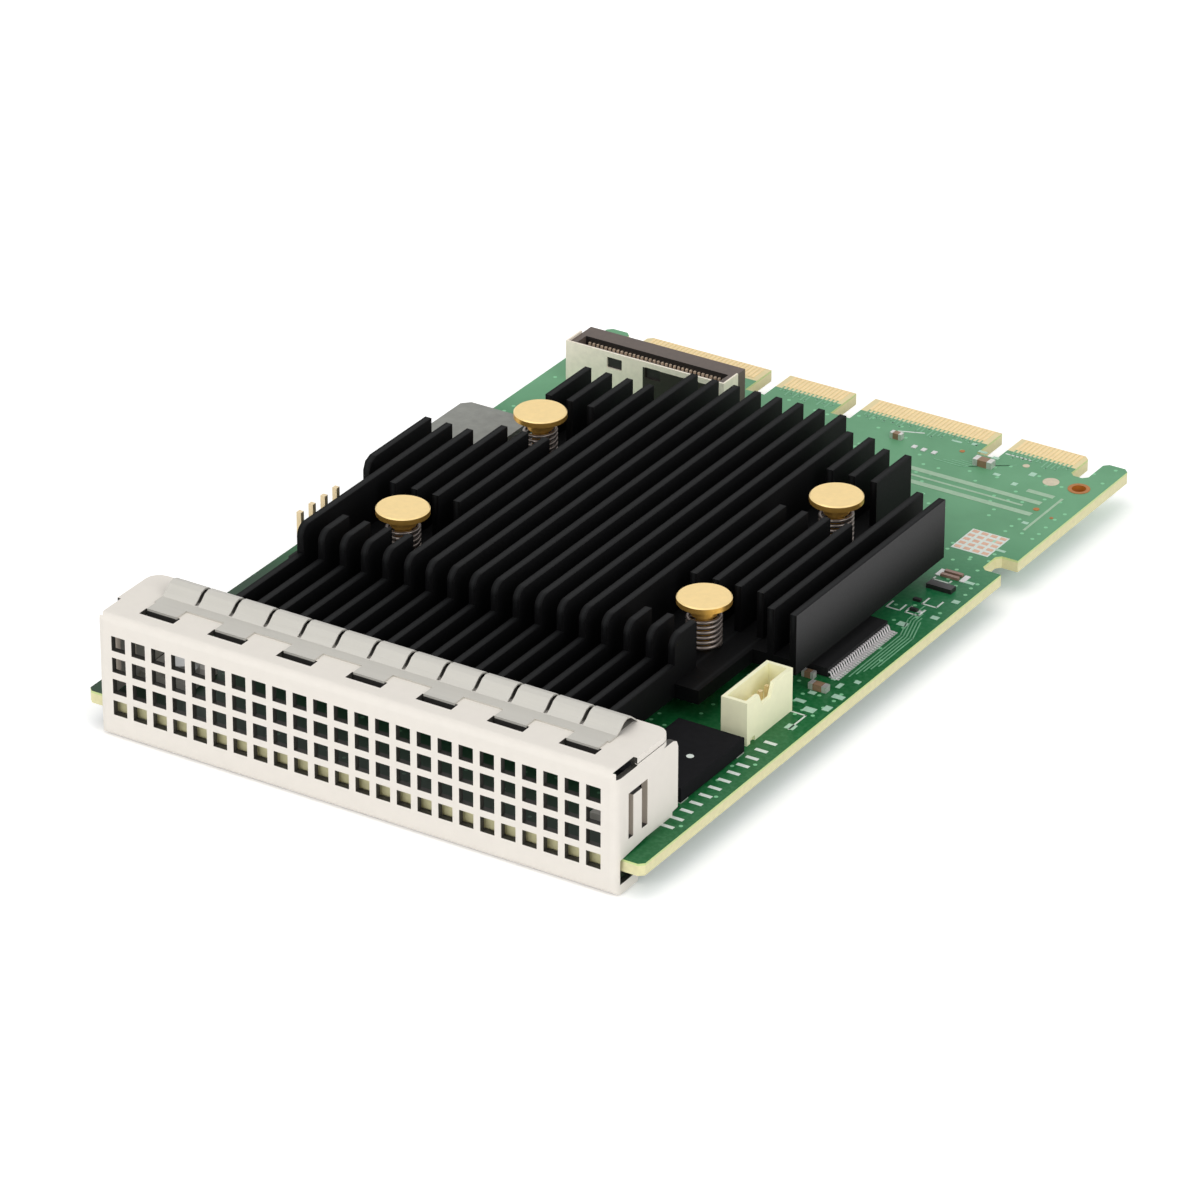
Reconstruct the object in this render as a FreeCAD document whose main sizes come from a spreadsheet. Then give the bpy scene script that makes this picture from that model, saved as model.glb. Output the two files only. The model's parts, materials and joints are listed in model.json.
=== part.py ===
"""Small form factor controller card with a perforated faceplate and a finned heatsink.

All sizes are in millimetres. Sketches are drawn in card coordinates: x is zero in the middle of the
board, y is zero at the front edge of the board and z is zero on its upper side. Every body is then
placed by the sheet, so that the origin of the part is the middle of the bottom of its bounding box,
with +X to the right, +Y from the faceplate to the card edge and +Z up.
"""
import FreeCAD
import Part
import Sketcher
import os
import re

V = FreeCAD.Vector

SIZES = [
    ("board_width", 76.0, "small form factor card, side edge to side edge"),
    ("board_length", 115.0, "front edge to the tip of the card edge"),
    ("board_thick", 1.57, "card thickness that the edge socket takes"),
    ("board_corner", 0.6, "corner break of the board outline"),
    ("ear_wide", 3.4, "width of the rear ears"),
    ("ear_gap", 2.4, "gap between an ear and the card edge"),
    ("ear_short", 0.5, "tip of an ear to the tip of the card edge"),
    ("shoulder_deep", 5.5, "depth of that gap from the tip of the card edge"),
    ("key_width", 2.8, "width of the three key notches"),
    ("key_deep", 6.5, "depth of the key notches"),
    ("key_side", 12.5, "x of the middle of the left key notch, as a distance"),
    ("key_right", 21.1, "x of the middle of the right key notch"),
    ("latch_back", 33.2, "front wall of the side latch notch to the tip of the card edge"),
    ("latch_long", 4.2, "length of the side latch notch"),
    ("latch_deep", 2.8, "depth of the side latch notch"),
    ("finger_pitch", 0.6, "pitch of the card edge contacts"),
    ("finger_wide", 0.4, "width of one contact pad"),
    ("finger_long", 3.1, "length of one contact pad"),
    ("finger_thick", 0.05, "plating above the board, drawn thick enough to mesh"),
    ("finger_margin", 0.8, "least distance from the side of a tongue to the middle of a contact"),
    ("tool_side", 2.9, "plated hole to the side edge of the board"),
    ("tool_back", 8.3, "plated hole to the tip of the card edge"),
    ("tool_hole_r", 0.9, "radius of the plated hole"),
    ("ring_r", 1.4, "outer radius of its ring"),
    ("ring_thick", 0.05, "plating above the board"),
    ("face_side", 2.6, "side edge of the board to the outer side of the faceplate"),
    ("face_gap", 0.5, "board edge to the inner side of the faceplate"),
    ("sheet_thick", 0.8, "faceplate sheet"),
    ("bend_radius", 1.0, "outer radius of the folds"),
    ("bend_inner", 0.3, "inner radius of the folds"),
    ("face_top", 11.5, "top of the faceplate above the board"),
    ("foot_drop", 4.4, "board top to the bottom of the faceplate"),
    ("top_depth", 10.45, "y of the rear edge of the top flange"),
    ("top_round", 1.8, "corner radius of the top flange"),
    ("side_depth", 11.7, "y of the rear edge of the side flanges"),
    ("side_top", 10.0, "top of the side flange behind the top flange"),
    ("side_round", 1.1, "corner break of the side flange"),
    ("side_rise", 1.05, "how far the lower edge of a side flange rises towards the rear"),
    ("lip_high", 1.3, "height of the lip beside the bottom flange"),
    ("bottom_depth", 3.2, "y of the rear edge of the bottom flange"),
    ("vent_side", 1.92, "side of one square vent"),
    ("vent_pitch", 2.813, "pitch of the vents both ways"),
    ("vent_margin", 1.6, "least width of sheet beside the outer vents"),
    ("vent_rows", 4, "vents up"),
    ("vent_above", 4.013, "bottom of the faceplate to the middle of the lowest vents"),
    ("slot_wide", 4.8, "width of a slot in the top flange"),
    ("slot_front", 1.15, "front of the slots in the top flange"),
    ("slot_rear", 2.6, "rear of the slots in the top flange"),
    ("relief_front", -1.0, "front of the corner relief slot"),
    ("relief_rear", 3.0, "rear of the corner relief slot"),
    ("relief_top", 0.5, "width of the corner relief slot on the top flange"),
    ("relief_side", 1.0, "width of the corner relief slot on the side flange"),
    ("seam_wide", 0.16, "gap between the top flange and a side flange"),
    ("seam_deep", 0.3, "depth of that seam from outside"),
    ("tongue_front", 1.2, "front of the cut tongue in a side flange"),
    ("tongue_rear", 5.2, "rear of the cut tongue"),
    ("tongue_low", 2.0, "lower end of the cuts"),
    ("tongue_high", 7.8, "upper end of the cuts"),
    ("cut_front", 1.0, "width of the front cut"),
    ("cut_rear", 1.2, "width of the rear cut"),
    ("cut_top", 0.6, "width of the upper cut"),
    ("foot_long", 8.0, "length of a faceplate foot on the board, from the side of the faceplate"),
    ("foot_front", 5.8, "front of a faceplate foot"),
    ("foot_rear", 11.2, "rear of a faceplate foot"),
    ("strip_side", 4.4, "side of the faceplate to the end of the finger strip"),
    ("strip_front", 4.2, "front edge of the finger strip"),
    ("strip_rear", 10.1, "rear end of the fingers on the flange"),
    ("strip_rise", 1.3, "height of the arch above the flat part of the strip"),
    ("strip_thick", 0.2, "spring sheet"),
    ("slit_count", 12, "slits between 13 fingers"),
    ("slit_wide", 0.5, "width of a slit"),
    ("slit_start", 5.8, "y where the slits start"),
    ("tab_count", 7, "hooked tabs"),
    ("tab_clear", 0.3, "tab to the side of its slot"),
    ("tab_slack", 0.05, "hook of a tab to the rear of its slot"),
    ("tab_drop", 1.0, "length of the hook below the flange top"),
    ("chip_side", 27.0, "controller substrate"),
    ("chip_thick", 1.0, "top of the substrate above the board"),
    ("lid_side", 23.0, "controller lid"),
    ("lid_thick", 1.1, "thickness of the controller lid"),
    ("pad_side", 20.0, "thermal pad"),
    ("pad_thick", 0.5, "thickness of the thermal pad"),
    ("base_thick", 1.8, "heatsink base plate"),
    ("fin_high", 6.0, "tall fins above the base plate"),
    ("low_high", 2.4, "low front fins above the base plate"),
    ("fin_count", 22, "fins across"),
    ("fin_thick", 0.9, "fin thickness"),
    ("sink_side", 5.63, "side edge of the board to the outer fin"),
    ("sink_clear", 1.8, "side flange of the faceplate to the low front fins"),
    ("tall_ahead", 10.2, "tall fins ahead of the front pins"),
    ("tall_round", 1.5, "rounded upper front of the tall fins"),
    ("left_ahead", 6.8, "outer left fin ahead of the middle of the controller"),
    ("left_behind", 6.9, "three outer left fins behind the middle of the controller"),
    ("left_round", 1.5, "rounded front of the outer left fin"),
    ("fl_ahead", 4.9, "front left pocket ahead of its pin"),
    ("fl_behind", 5.1, "front left pocket behind its pin"),
    ("fr_ahead", 5.4, "front right pocket ahead of its pin"),
    ("fr_behind", 4.6, "front right pocket behind its pin"),
    ("rr_ahead", 5.3, "rear right pocket ahead of its pin"),
    ("rr_behind", 5.7, "rear right pocket behind its pin"),
    ("rl_ahead", 5.3, "rear left pocket ahead of its pin"),
    ("rl_behind", 4.7, "rear left pocket behind its pin"),
    ("side_ahead", 3.3, "cream header to the two outer right fins"),
    ("side_behind", 21.5, "two outer right fins behind the middle of the controller"),
    ("end_left", 13.9, "fins 4 to 7 behind the rear pins"),
    ("end_sixteen", 15.8, "fins 16 and 17 behind the rear pins"),
    ("end_right", 14.1, "fins 18 and 19 behind the rear pins"),
    ("end_clear", 8.15, "fins 8 to 15 to the cable connector"),
    ("head_clear", 3.9, "base plate to the cream header, across"),
    ("coil_clear", 1.4, "base plate to the grey inductor, across"),
    ("pin_fins", 7, "fin pitches from the middle to the pockets"),
    ("pin_inset", 0.28, "pins inboard of the middle of the pockets"),
    ("pin_half", 15.2, "half of the push pin spacing front to rear"),
    ("pin_above", 0.3, "top of the pin heads above the tall fins"),
    ("pin_head_r", 3.3, "head radius"),
    ("pin_head_thick", 0.8, "head thickness"),
    ("pin_edge", 0.15, "chamfer of the head"),
    ("pin_collar_r", 1.6, "collar radius"),
    ("pin_collar_long", 1.5, "collar below the head"),
    ("pin_shaft_r", 1.05, "shaft radius"),
    ("pin_clear", 0.25, "shaft to hole, all round, in board and heatsink"),
    ("barb_r", 1.7, "widest radius of the split tip"),
    ("barb_long", 0.9, "straight part of the split tip"),
    ("barb_tip_r", 0.7, "radius at the end of the tip"),
    ("spring_r", 2.2, "outer radius of the coil spring"),
    ("spring_wire", 0.5, "wire diameter"),
    ("spring_turns", 4, "turns that are drawn as rings"),
    ("flash_gap", 2.0, "controller to the flash chip"),
    ("flash_long", 17.9, "flash chip body across"),
    ("flash_wide", 14.0, "flash chip body front to rear"),
    ("flash_low", 0.1, "standoff of the flash chip body"),
    ("flash_top", 1.2, "height of the flash chip"),
    ("lead_pitch", 0.5, "lead pitch"),
    ("lead_margin", 0.1, "least distance from a lead to the corner of the body"),
    ("lead_wide", 0.22, "lead width"),
    ("lead_thick", 0.15, "lead thickness"),
    ("lead_reach", 1.1, "lead length beyond the body"),
    ("lead_foot", 0.6, "flat foot of a lead"),
    ("lead_mid", 0.6, "height of the lead at the body"),
    ("block_side", 3.6, "power inductor to the side edge of the board"),
    ("block_wide", 8.8, "power inductor across"),
    ("block_long", 13.9, "power inductor front to rear"),
    ("block_gap", 2.8, "faceplate foot to the power inductor"),
    ("block_top", 2.0, "power inductor height"),
    ("block_foot", 0.15, "height of its terminals"),
    ("block_term", 1.6, "width of its terminals"),
    ("coil_edge", 6.3, "side edge of the board to the middle of the grey inductor"),
    ("coil_behind", 2.1, "grey inductor behind the rear pins"),
    ("coil_side", 10.0, "grey inductor side"),
    ("coil_top", 5.0, "grey inductor height"),
    ("coil_round", 1.0, "its corner break"),
    ("coil_term_wide", 3.0, "width of its terminals"),
    ("coil_term_thick", 0.2, "terminal sheet"),
    ("coil_term_high", 2.4, "terminal height"),
    ("cable_edge", 3.7, "side edge of the board to the cable connector"),
    ("cable_back", 16.15, "front of the cable connector to the tip of the card edge"),
    ("cable_long", 22.9, "cable connector across"),
    ("cable_deep", 5.35, "cable connector front to rear"),
    ("cable_top", 5.3, "cable connector height"),
    ("cable_lip", 0.65, "wall of the housing in front of the plug slot"),
    ("cable_slot", 2.1, "width of the plug slot"),
    ("cable_floor", 1.2, "floor of the plug slot"),
    ("cable_wall", 0.9, "end wall of the housing"),
    ("shell_thick", 0.25, "metal shell of the cable connector"),
    ("shell_above", 0.3, "shell above the housing"),
    ("shell_wing", 3.2, "length of the shell's end walls"),
    ("window_wide", 2.2, "window in the shell"),
    ("window_tall", 1.5, "height of a window"),
    ("window_down", 0.7, "top of the shell to the windows"),
    ("window_start", 5.9, "left end of the housing to the first window"),
    ("window_pitch", 5.65, "window pitch"),
    ("blade_pitch", 0.6, "contact pitch of the cable connector"),
    ("blade_margin", 0.3, "least distance from a contact to the end of the slot"),
    ("blade_wide", 0.26, "contact width"),
    ("blade_thick", 0.3, "contact thickness"),
    ("blade_down", 0.7, "top of the housing to the top of the contacts"),
    ("head_edge", 4.1, "cream header to the side edge of the board"),
    ("head_gap", 1.4, "power inductor to the cream header"),
    ("head_wide", 3.5, "cream header across"),
    ("head_long", 10.2, "cream header front to rear"),
    ("head_top", 5.6, "cream header height"),
    ("head_wall", 0.5, "cream header wall"),
    ("head_floor", 2.4, "cream header floor"),
    ("notch_ahead", 2.6, "front of the cream header to the notch in its right wall"),
    ("notch_long", 3.4, "length of that notch at the top"),
    ("notch_flat", 2.0, "length of that notch at the bottom"),
    ("notch_low", 4.0, "bottom of that notch"),
    ("head_recess", 0.35, "depth of the small recess under its right wall"),
    ("head_pitch", 1.5, "pin pitch of the cream header"),
    ("head_pins", 6, "pins of the cream header"),
    ("head_pin_side", 0.5, "pin side"),
    ("head_pin_top", 4.1, "top of its pins"),
    ("jump_edge", 4.9, "side edge of the board to the four-pin header"),
    ("jump_ahead", 0.2, "middle of the four-pin header ahead of the front pins"),
    ("jump_pitch", 2.54, "pin pitch of the four-pin header"),
    ("jump_pins", 4, "pins of the four-pin header"),
    ("jump_base", 2.5, "side and height of its base"),
    ("jump_score", 0.4, "depth of the scores between its cells"),
    ("jump_pin_side", 0.64, "pin side"),
    ("jump_pin_top", 8.5, "top of its pins"),
    ("screw_side", 4.8, "faceplate foot screw to the side of the faceplate"),
    ("screw_r", 1.2, "screw thread radius"),
    ("screw_clear", 0.15, "screw to hole, all round, in board and foot"),
    ("screw_head_r", 2.2, "screw head radius"),
    ("screw_head", 1.3, "screw head height"),
    ("nut_flats", 4.5, "nut across flats"),
    ("nut_thick", 1.8, "nut thickness"),
    ("overlap", 1.0, "how far a cutting tool reaches past what it cuts"),
]

PLACES = [
    ("half_width", "board_width/2", "x of the side edges of the board"),
    ("ear_inner", "half_width - ear_wide", "x of the inner side of the rear ears"),
    ("tongue_half", "ear_inner - ear_gap", "half width of the card edge"),
    ("ear_tip", "board_length - ear_short", "y of the tip of the rear ears"),
    ("shoulder_y", "board_length - shoulder_deep", "y of the floor beside the card edge"),
    ("key_floor", "board_length - key_deep", "y of the floor of the key notches"),
    ("latch_front", "board_length - latch_back", "front wall of the side latch notch"),
    ("latch_rear", "latch_front + latch_long", "rear wall of the side latch notch"),
    ("tool_hole_x", "half_width - tool_side", "plated hole at the rear right"),
    ("tool_hole_y", "board_length - tool_back", "plated hole at the rear right"),
    ("face_width", "board_width - 2*face_side", "faceplate across"),
    ("vent_columns", "floor((face_width - 2*vent_margin - vent_side)/vent_pitch) + 1", "vents across"),
    ("vent_low", "vent_above - foot_drop", "z of the middle of the lowest row"),
    ("foot_inner", "face_width/2 - foot_long", "x where a faceplate foot ends on the board"),
    ("strip_half", "face_width/2 - strip_side", "half length of the finger strip"),
    ("finger_step", "2*strip_half/(slit_count + 1)", "pitch of the spring fingers"),
    ("tab_wide", "slot_wide - 2*tab_clear", "width of a tab"),
    ("tab_front", "slot_rear - tab_slack - strip_thick", "front face of a tab's hook"),
    ("screw_x", "face_width/2 - screw_side", "faceplate foot screw"),
    ("screw_y", "(foot_front + foot_rear)/2", "faceplate foot screw"),
    ("lid_top", "chip_thick + lid_thick", "top of the lid above the board"),
    ("sink_under", "lid_top + pad_thick", "board top to the underside of the heatsink"),
    ("sink_base", "sink_under + base_thick", "top of the heatsink base plate"),
    ("sink_top", "sink_base + fin_high", "top of the tall fins"),
    ("sink_low", "sink_base + low_high", "top of the low front fins"),
    ("fin_pitch", "(board_width - 2*sink_side - fin_thick)/(fin_count - 1)", "fin pitch"),
    ("cable_left", "cable_edge - half_width", "left end of the cable connector"),
    ("cable_right", "cable_left + cable_long", "right end of the cable connector"),
    ("cable_front", "board_length - cable_back", "front of the cable connector"),
    ("cable_rear", "cable_front + cable_deep", "rear of the cable connector"),
    ("slot_low_y", "cable_front + cable_lip", "front of the plug slot"),
    ("slot_high_y", "slot_low_y + cable_slot", "rear of the plug slot"),
    ("shell_top", "cable_top + shell_above", "top of the shell"),
    ("window_high", "shell_top - window_down", "upper edge of the windows"),
    ("window_low", "window_high - window_tall", "lower edge of the windows"),
    ("window_count", "floor((cable_long - window_start - window_wide)/window_pitch) + 1", "windows"),
    ("blade_count", "floor((cable_long - 2*cable_wall - 2*blade_margin - blade_wide)/blade_pitch) + 1",
     "contacts in each row of the cable connector"),
    ("blade_top", "cable_top - blade_down", "top of those contacts"),
    ("low_front", "side_depth + sink_clear", "front of the low fins"),
    ("chip_y", "(low_front + cable_front)/2", "the controller sits midway between faceplate and connector"),
    ("pin_x", "pin_fins*fin_pitch - pin_inset", "half of the push pin spacing across"),
    ("pin_front_y", "chip_y - pin_half", "y of the front pins"),
    ("pin_rear_y", "chip_y + pin_half", "y of the rear pins"),
    ("pin_top", "sink_top + pin_above", "top of the pin heads"),
    ("block_front", "foot_rear + block_gap", "front of the power inductor"),
    ("block_rear", "block_front + block_long", "rear of the power inductor"),
    ("block_right", "half_width - block_side", "right side of the power inductor"),
    ("block_left", "block_right - block_wide", "left side of the power inductor"),
    ("head_right", "half_width - head_edge", "right side of the cream header"),
    ("head_left", "head_right - head_wide", "left side of the cream header"),
    ("head_front", "block_rear + head_gap", "front of the cream header"),
    ("head_rear", "head_front + head_long", "rear of the cream header"),
    ("coil_x", "coil_edge - half_width", "middle of the grey inductor"),
    ("coil_y", "pin_rear_y + coil_behind", "middle of the grey inductor"),
    ("jump_x", "jump_edge - half_width", "middle of the four-pin header"),
    ("jump_y", "pin_front_y - jump_ahead", "middle of the four-pin header"),
    ("flash_left", "chip_side/2 + flash_gap", "left side of the flash chip body"),
    ("flash_right", "flash_left + flash_long", "right side of the flash chip body"),
    ("flash_front", "(head_rear + pin_rear_y - flash_wide)/2", "the flash chip sits midway between them"),
    ("flash_rear", "flash_front + flash_wide", "rear of the flash chip body"),
    ("lead_count", "floor((flash_wide - 2*lead_margin - lead_wide)/lead_pitch) + 1", "leads on each side"),
    ("tall_front", "pin_front_y - tall_ahead", "front of the tall fins"),
    ("left_front", "chip_y - left_ahead", "front of the outer left fin"),
    ("left_rear", "chip_y + left_behind", "rear of the three outer left fins"),
    ("side_front", "head_rear + side_ahead", "front of the two outer right fins"),
    ("side_rear", "chip_y + side_behind", "rear of the two outer right fins"),
    ("rear_left", "pin_rear_y + end_left", "rear of fins 4 to 7"),
    ("rear_mid", "cable_front - end_clear", "rear of fins 8 to 15"),
    ("rear_sixteen", "pin_rear_y + end_sixteen", "rear of fins 16 and 17"),
    ("rear_right", "pin_rear_y + end_right", "rear of fins 18 and 19"),
    ("base_right", "head_left - head_clear", "right side of the base beside the cream header"),
    ("base_left", "-coil_x - coil_side/2 - coil_clear", "left side of the base beside the grey inductor"),
    ("middle_y", "(board_length - face_gap - sheet_thick)/2", "y of the middle of the bounding box"),
]

doc = FreeCAD.newDocument("card")
sheet = doc.addObject("Spreadsheet::Sheet", "Sizes")
for row, (alias, number, note) in enumerate(SIZES, start=1):
    sheet.set(f"A{row}", alias)
    sheet.set(f"B{row}", str(number))
    sheet.set(f"C{row}", note)
    sheet.setAlias(f"B{row}", alias)
for row, (alias, formula, note) in enumerate(PLACES, start=len(SIZES) + 1):
    sheet.set(f"A{row}", alias)
    sheet.set(f"B{row}", f"={formula}")
    sheet.set(f"C{row}", note)
    sheet.setAlias(f"B{row}", alias)
doc.recompute()

PARTS = []
NAME = re.compile(r"\b([a-z][a-z_0-9]*)\b(?!\()")


def grow(text):
    """Return an expression that reads the named sizes from the sheet, functions apart."""
    return NAME.sub(r"Sizes.\1", str(text))


def value(text):
    """Return the present value of an expression."""
    return float(sheet.evalExpression(grow(text)))


def make_body(label, x="0", y="0", z="0"):
    """Add one named sub-part whose placement comes from the sheet."""
    body = doc.addObject("PartDesign::Body", label)
    body.Label = label
    body.setExpression("Placement.Base.x", grow(x))
    body.setExpression("Placement.Base.y", grow(f"{y} - middle_y"))
    body.setExpression("Placement.Base.z", grow(f"{z} + foot_drop"))
    PARTS.append(body)
    return body


def box(x0, x1, y0, y1):
    """Return the four corners of a rectangle as expressions."""
    return [(x0, y0), (x1, y0), (x1, y1), (x0, y1)]


def hold(sketch, index, point, axis, text):
    """Fix one coordinate of a sketch point by an expression."""
    start = value(text)
    if str(text) == "0":
        sketch.addConstraint(Sketcher.Constraint("PointOnObject", index, point, -2 if axis == "X" else -1))
        return
    made = sketch.addConstraint(Sketcher.Constraint("Distance" + axis, -1, 1, index, point, start))
    sketch.setExpression(f"Constraints[{made}]", grow(text))


def draw(body, name, plane, level, loops):
    """Draw closed loops on one origin plane of a body, moved along its normal to a level."""
    found = [item for item in body.Origin.OriginFeatures if item.Role == plane + "_Plane"][0]
    sketch = body.newObject("Sketcher::SketchObject", name)
    sketch.AttachmentSupport = [(found, "")]
    sketch.MapMode = "FlatFace"
    side = "-" if plane == "XZ" else ""
    sketch.setExpression("AttachmentOffset.Base.z", grow(f"{side}({level})"))
    for loop in loops:
        first = sketch.GeometryCount
        if loop[0] == "circle":
            kind, cx, cy, radius = loop
            sketch.addGeometry(Part.Circle(V(value(cx), value(cy), 0), V(0, 0, 1), value(radius)), False)
            hold(sketch, first, 3, "X", cx)
            hold(sketch, first, 3, "Y", cy)
            made = sketch.addConstraint(Sketcher.Constraint("Radius", first, value(radius)))
            sketch.setExpression(f"Constraints[{made}]", grow(radius))
            continue
        corners = [V(value(px), value(py), 0) for px, py in loop]
        count = len(corners)
        for i in range(count):
            sketch.addGeometry(Part.LineSegment(corners[i], corners[(i + 1) % count]), False)
        for i in range(count):
            sketch.addConstraint(Sketcher.Constraint("Coincident", first + i, 2, first + (i + 1) % count, 1))
        for i, (px, py) in enumerate(loop):
            hold(sketch, first + i, 1, "X", px)
            hold(sketch, first + i, 1, "Y", py)
    return sketch


def extrude(body, name, plane, start, stop, loops, cut=False):
    """Pad or pocket closed loops from one level to another along the normal of a plane."""
    sketch = draw(body, name + "_sketch", plane, start, loops)
    kind = "Pocket" if cut else "Pad"
    feature = body.newObject("PartDesign::" + kind, name)
    feature.Profile = sketch
    feature.setExpression("Length", grow(f"({stop}) - ({start})"))
    feature.Reversed = (plane != "XZ") if cut else (plane == "XZ")
    body.Tip = feature
    return feature


def repeat(body, name, feature, count, pitch, axis="H_Axis"):
    """Repeat a feature in a row along an axis of its sketch."""
    pattern = body.newObject("PartDesign::LinearPattern", name)
    pattern.Originals = [feature]
    pattern.Direction = (feature.Profile[0], [axis])
    pattern.Mode = "Spacing"
    pattern.setExpression("Offset", grow(pitch))
    pattern.setExpression("Occurrences", grow(count))
    body.Tip = pattern
    return pattern


def turn(body, name, outline):
    """Revolve a closed outline of radius and height around the z axis."""
    sketch = draw(body, name + "_sketch", "XZ", "0", [outline])
    feature = body.newObject("PartDesign::Revolution", name)
    feature.Profile = sketch
    feature.ReferenceAxis = (sketch, ["V_Axis"])
    feature.Angle = 360
    body.Tip = feature
    return feature


def edges_at(shape, test):
    """Return the names of the straight edges whose two ends pass a test."""
    names = []
    for i, edge in enumerate(shape.Edges, start=1):
        ends = [vertex.Point for vertex in edge.Vertexes]
        if len(ends) == 2 and all(test(point) for point in ends):
            names.append(f"Edge{i}")
    return names


def round_edges(body, name, feature, radius, test):
    """Round the edges of a feature that pass a test in card coordinates."""
    doc.recompute()
    fillet = body.newObject("PartDesign::Fillet", name)
    fillet.Base = (feature, edges_at(feature.Shape, test))
    fillet.Radius = value(radius)
    fillet.setExpression("Radius", grow(radius))
    body.Tip = fillet
    return fillet


def near(a, b):
    """Return True when two lengths agree to a hundredth."""
    return abs(a - b) < 0.01


def make_board():
    """Green board with tongues, key notches, latch notch and holes."""
    body = make_body("circuit_board")
    right = [
        ("half_width - board_corner", "0"),
        ("half_width", "board_corner"),
        ("half_width", "latch_front"),
        ("half_width - latch_deep + board_corner", "latch_front"),
        ("half_width - latch_deep", "latch_front + board_corner"),
        ("half_width - latch_deep", "latch_rear - board_corner"),
        ("half_width - latch_deep + board_corner", "latch_rear"),
        ("half_width", "latch_rear"),
        ("half_width", "ear_tip - board_corner"),
        ("half_width - board_corner", "ear_tip"),
        ("ear_inner + board_corner", "ear_tip"),
        ("ear_inner", "ear_tip - board_corner"),
        ("ear_inner", "shoulder_y + board_corner"),
        ("ear_inner - board_corner", "shoulder_y"),
        ("tongue_half + board_corner", "shoulder_y"),
        ("tongue_half", "shoulder_y + board_corner"),
        ("tongue_half", "board_length - board_corner"),
        ("tongue_half - board_corner", "board_length"),
    ]
    notches = []
    for middle in ("key_right", "0", "-key_side"):
        notches += [
            (f"{middle} + key_width/2", "board_length"),
            (f"{middle} + key_width/2", "key_floor"),
            (f"{middle} - key_width/2", "key_floor"),
            (f"{middle} - key_width/2", "board_length"),
        ]
    left = [
        ("-tongue_half + board_corner", "board_length"),
        ("-tongue_half", "board_length - board_corner"),
        ("-tongue_half", "shoulder_y + board_corner"),
        ("-tongue_half - board_corner", "shoulder_y"),
        ("-ear_inner + board_corner", "shoulder_y"),
        ("-ear_inner", "shoulder_y + board_corner"),
        ("-ear_inner", "ear_tip - board_corner"),
        ("-ear_inner - board_corner", "ear_tip"),
        ("-half_width + board_corner", "ear_tip"),
        ("-half_width", "ear_tip - board_corner"),
        ("-half_width", "board_corner"),
        ("-half_width + board_corner", "0"),
    ]
    holes = [("circle", "tool_hole_x", "tool_hole_y", "tool_hole_r")]
    for sign in ("-", ""):
        for pin_y in ("pin_front_y", "pin_rear_y"):
            holes.append(("circle", f"{sign}pin_x", pin_y, "pin_shaft_r + pin_clear"))
        holes.append(("circle", f"{sign}screw_x", "screw_y", "screw_r + screw_clear"))
    extrude(body, "board_plate", "XY", "-board_thick", "0", [right + notches + left] + holes)


def make_edge_fingers(label, low, high):
    """Four groups of gold contact pads on one side of the card edge."""
    body = make_body(label)
    tongues = [
        ("-tongue_half", "-key_side - key_width/2"),
        ("-key_side + key_width/2", "-key_width/2"),
        ("key_width/2", "key_right - key_width/2"),
        ("key_right + key_width/2", "tongue_half"),
    ]
    for index, (left, right) in enumerate(tongues, start=1):
        count = f"(floor((({right}) - ({left}) - 2*finger_margin)/finger_pitch) + 1)"
        middle = f"(({left}) + ({right}))/2 - ({count} - 1)/2*finger_pitch"
        loop = box(f"{middle} - finger_wide/2", f"{middle} + finger_wide/2",
                   "board_length - finger_long", "board_length - board_corner/6")
        pad = extrude(body, f"{label}_pad{index}", "XY", low, high, [loop])
        repeat(body, f"{label}_row{index}", pad, count, "finger_pitch")


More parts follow.
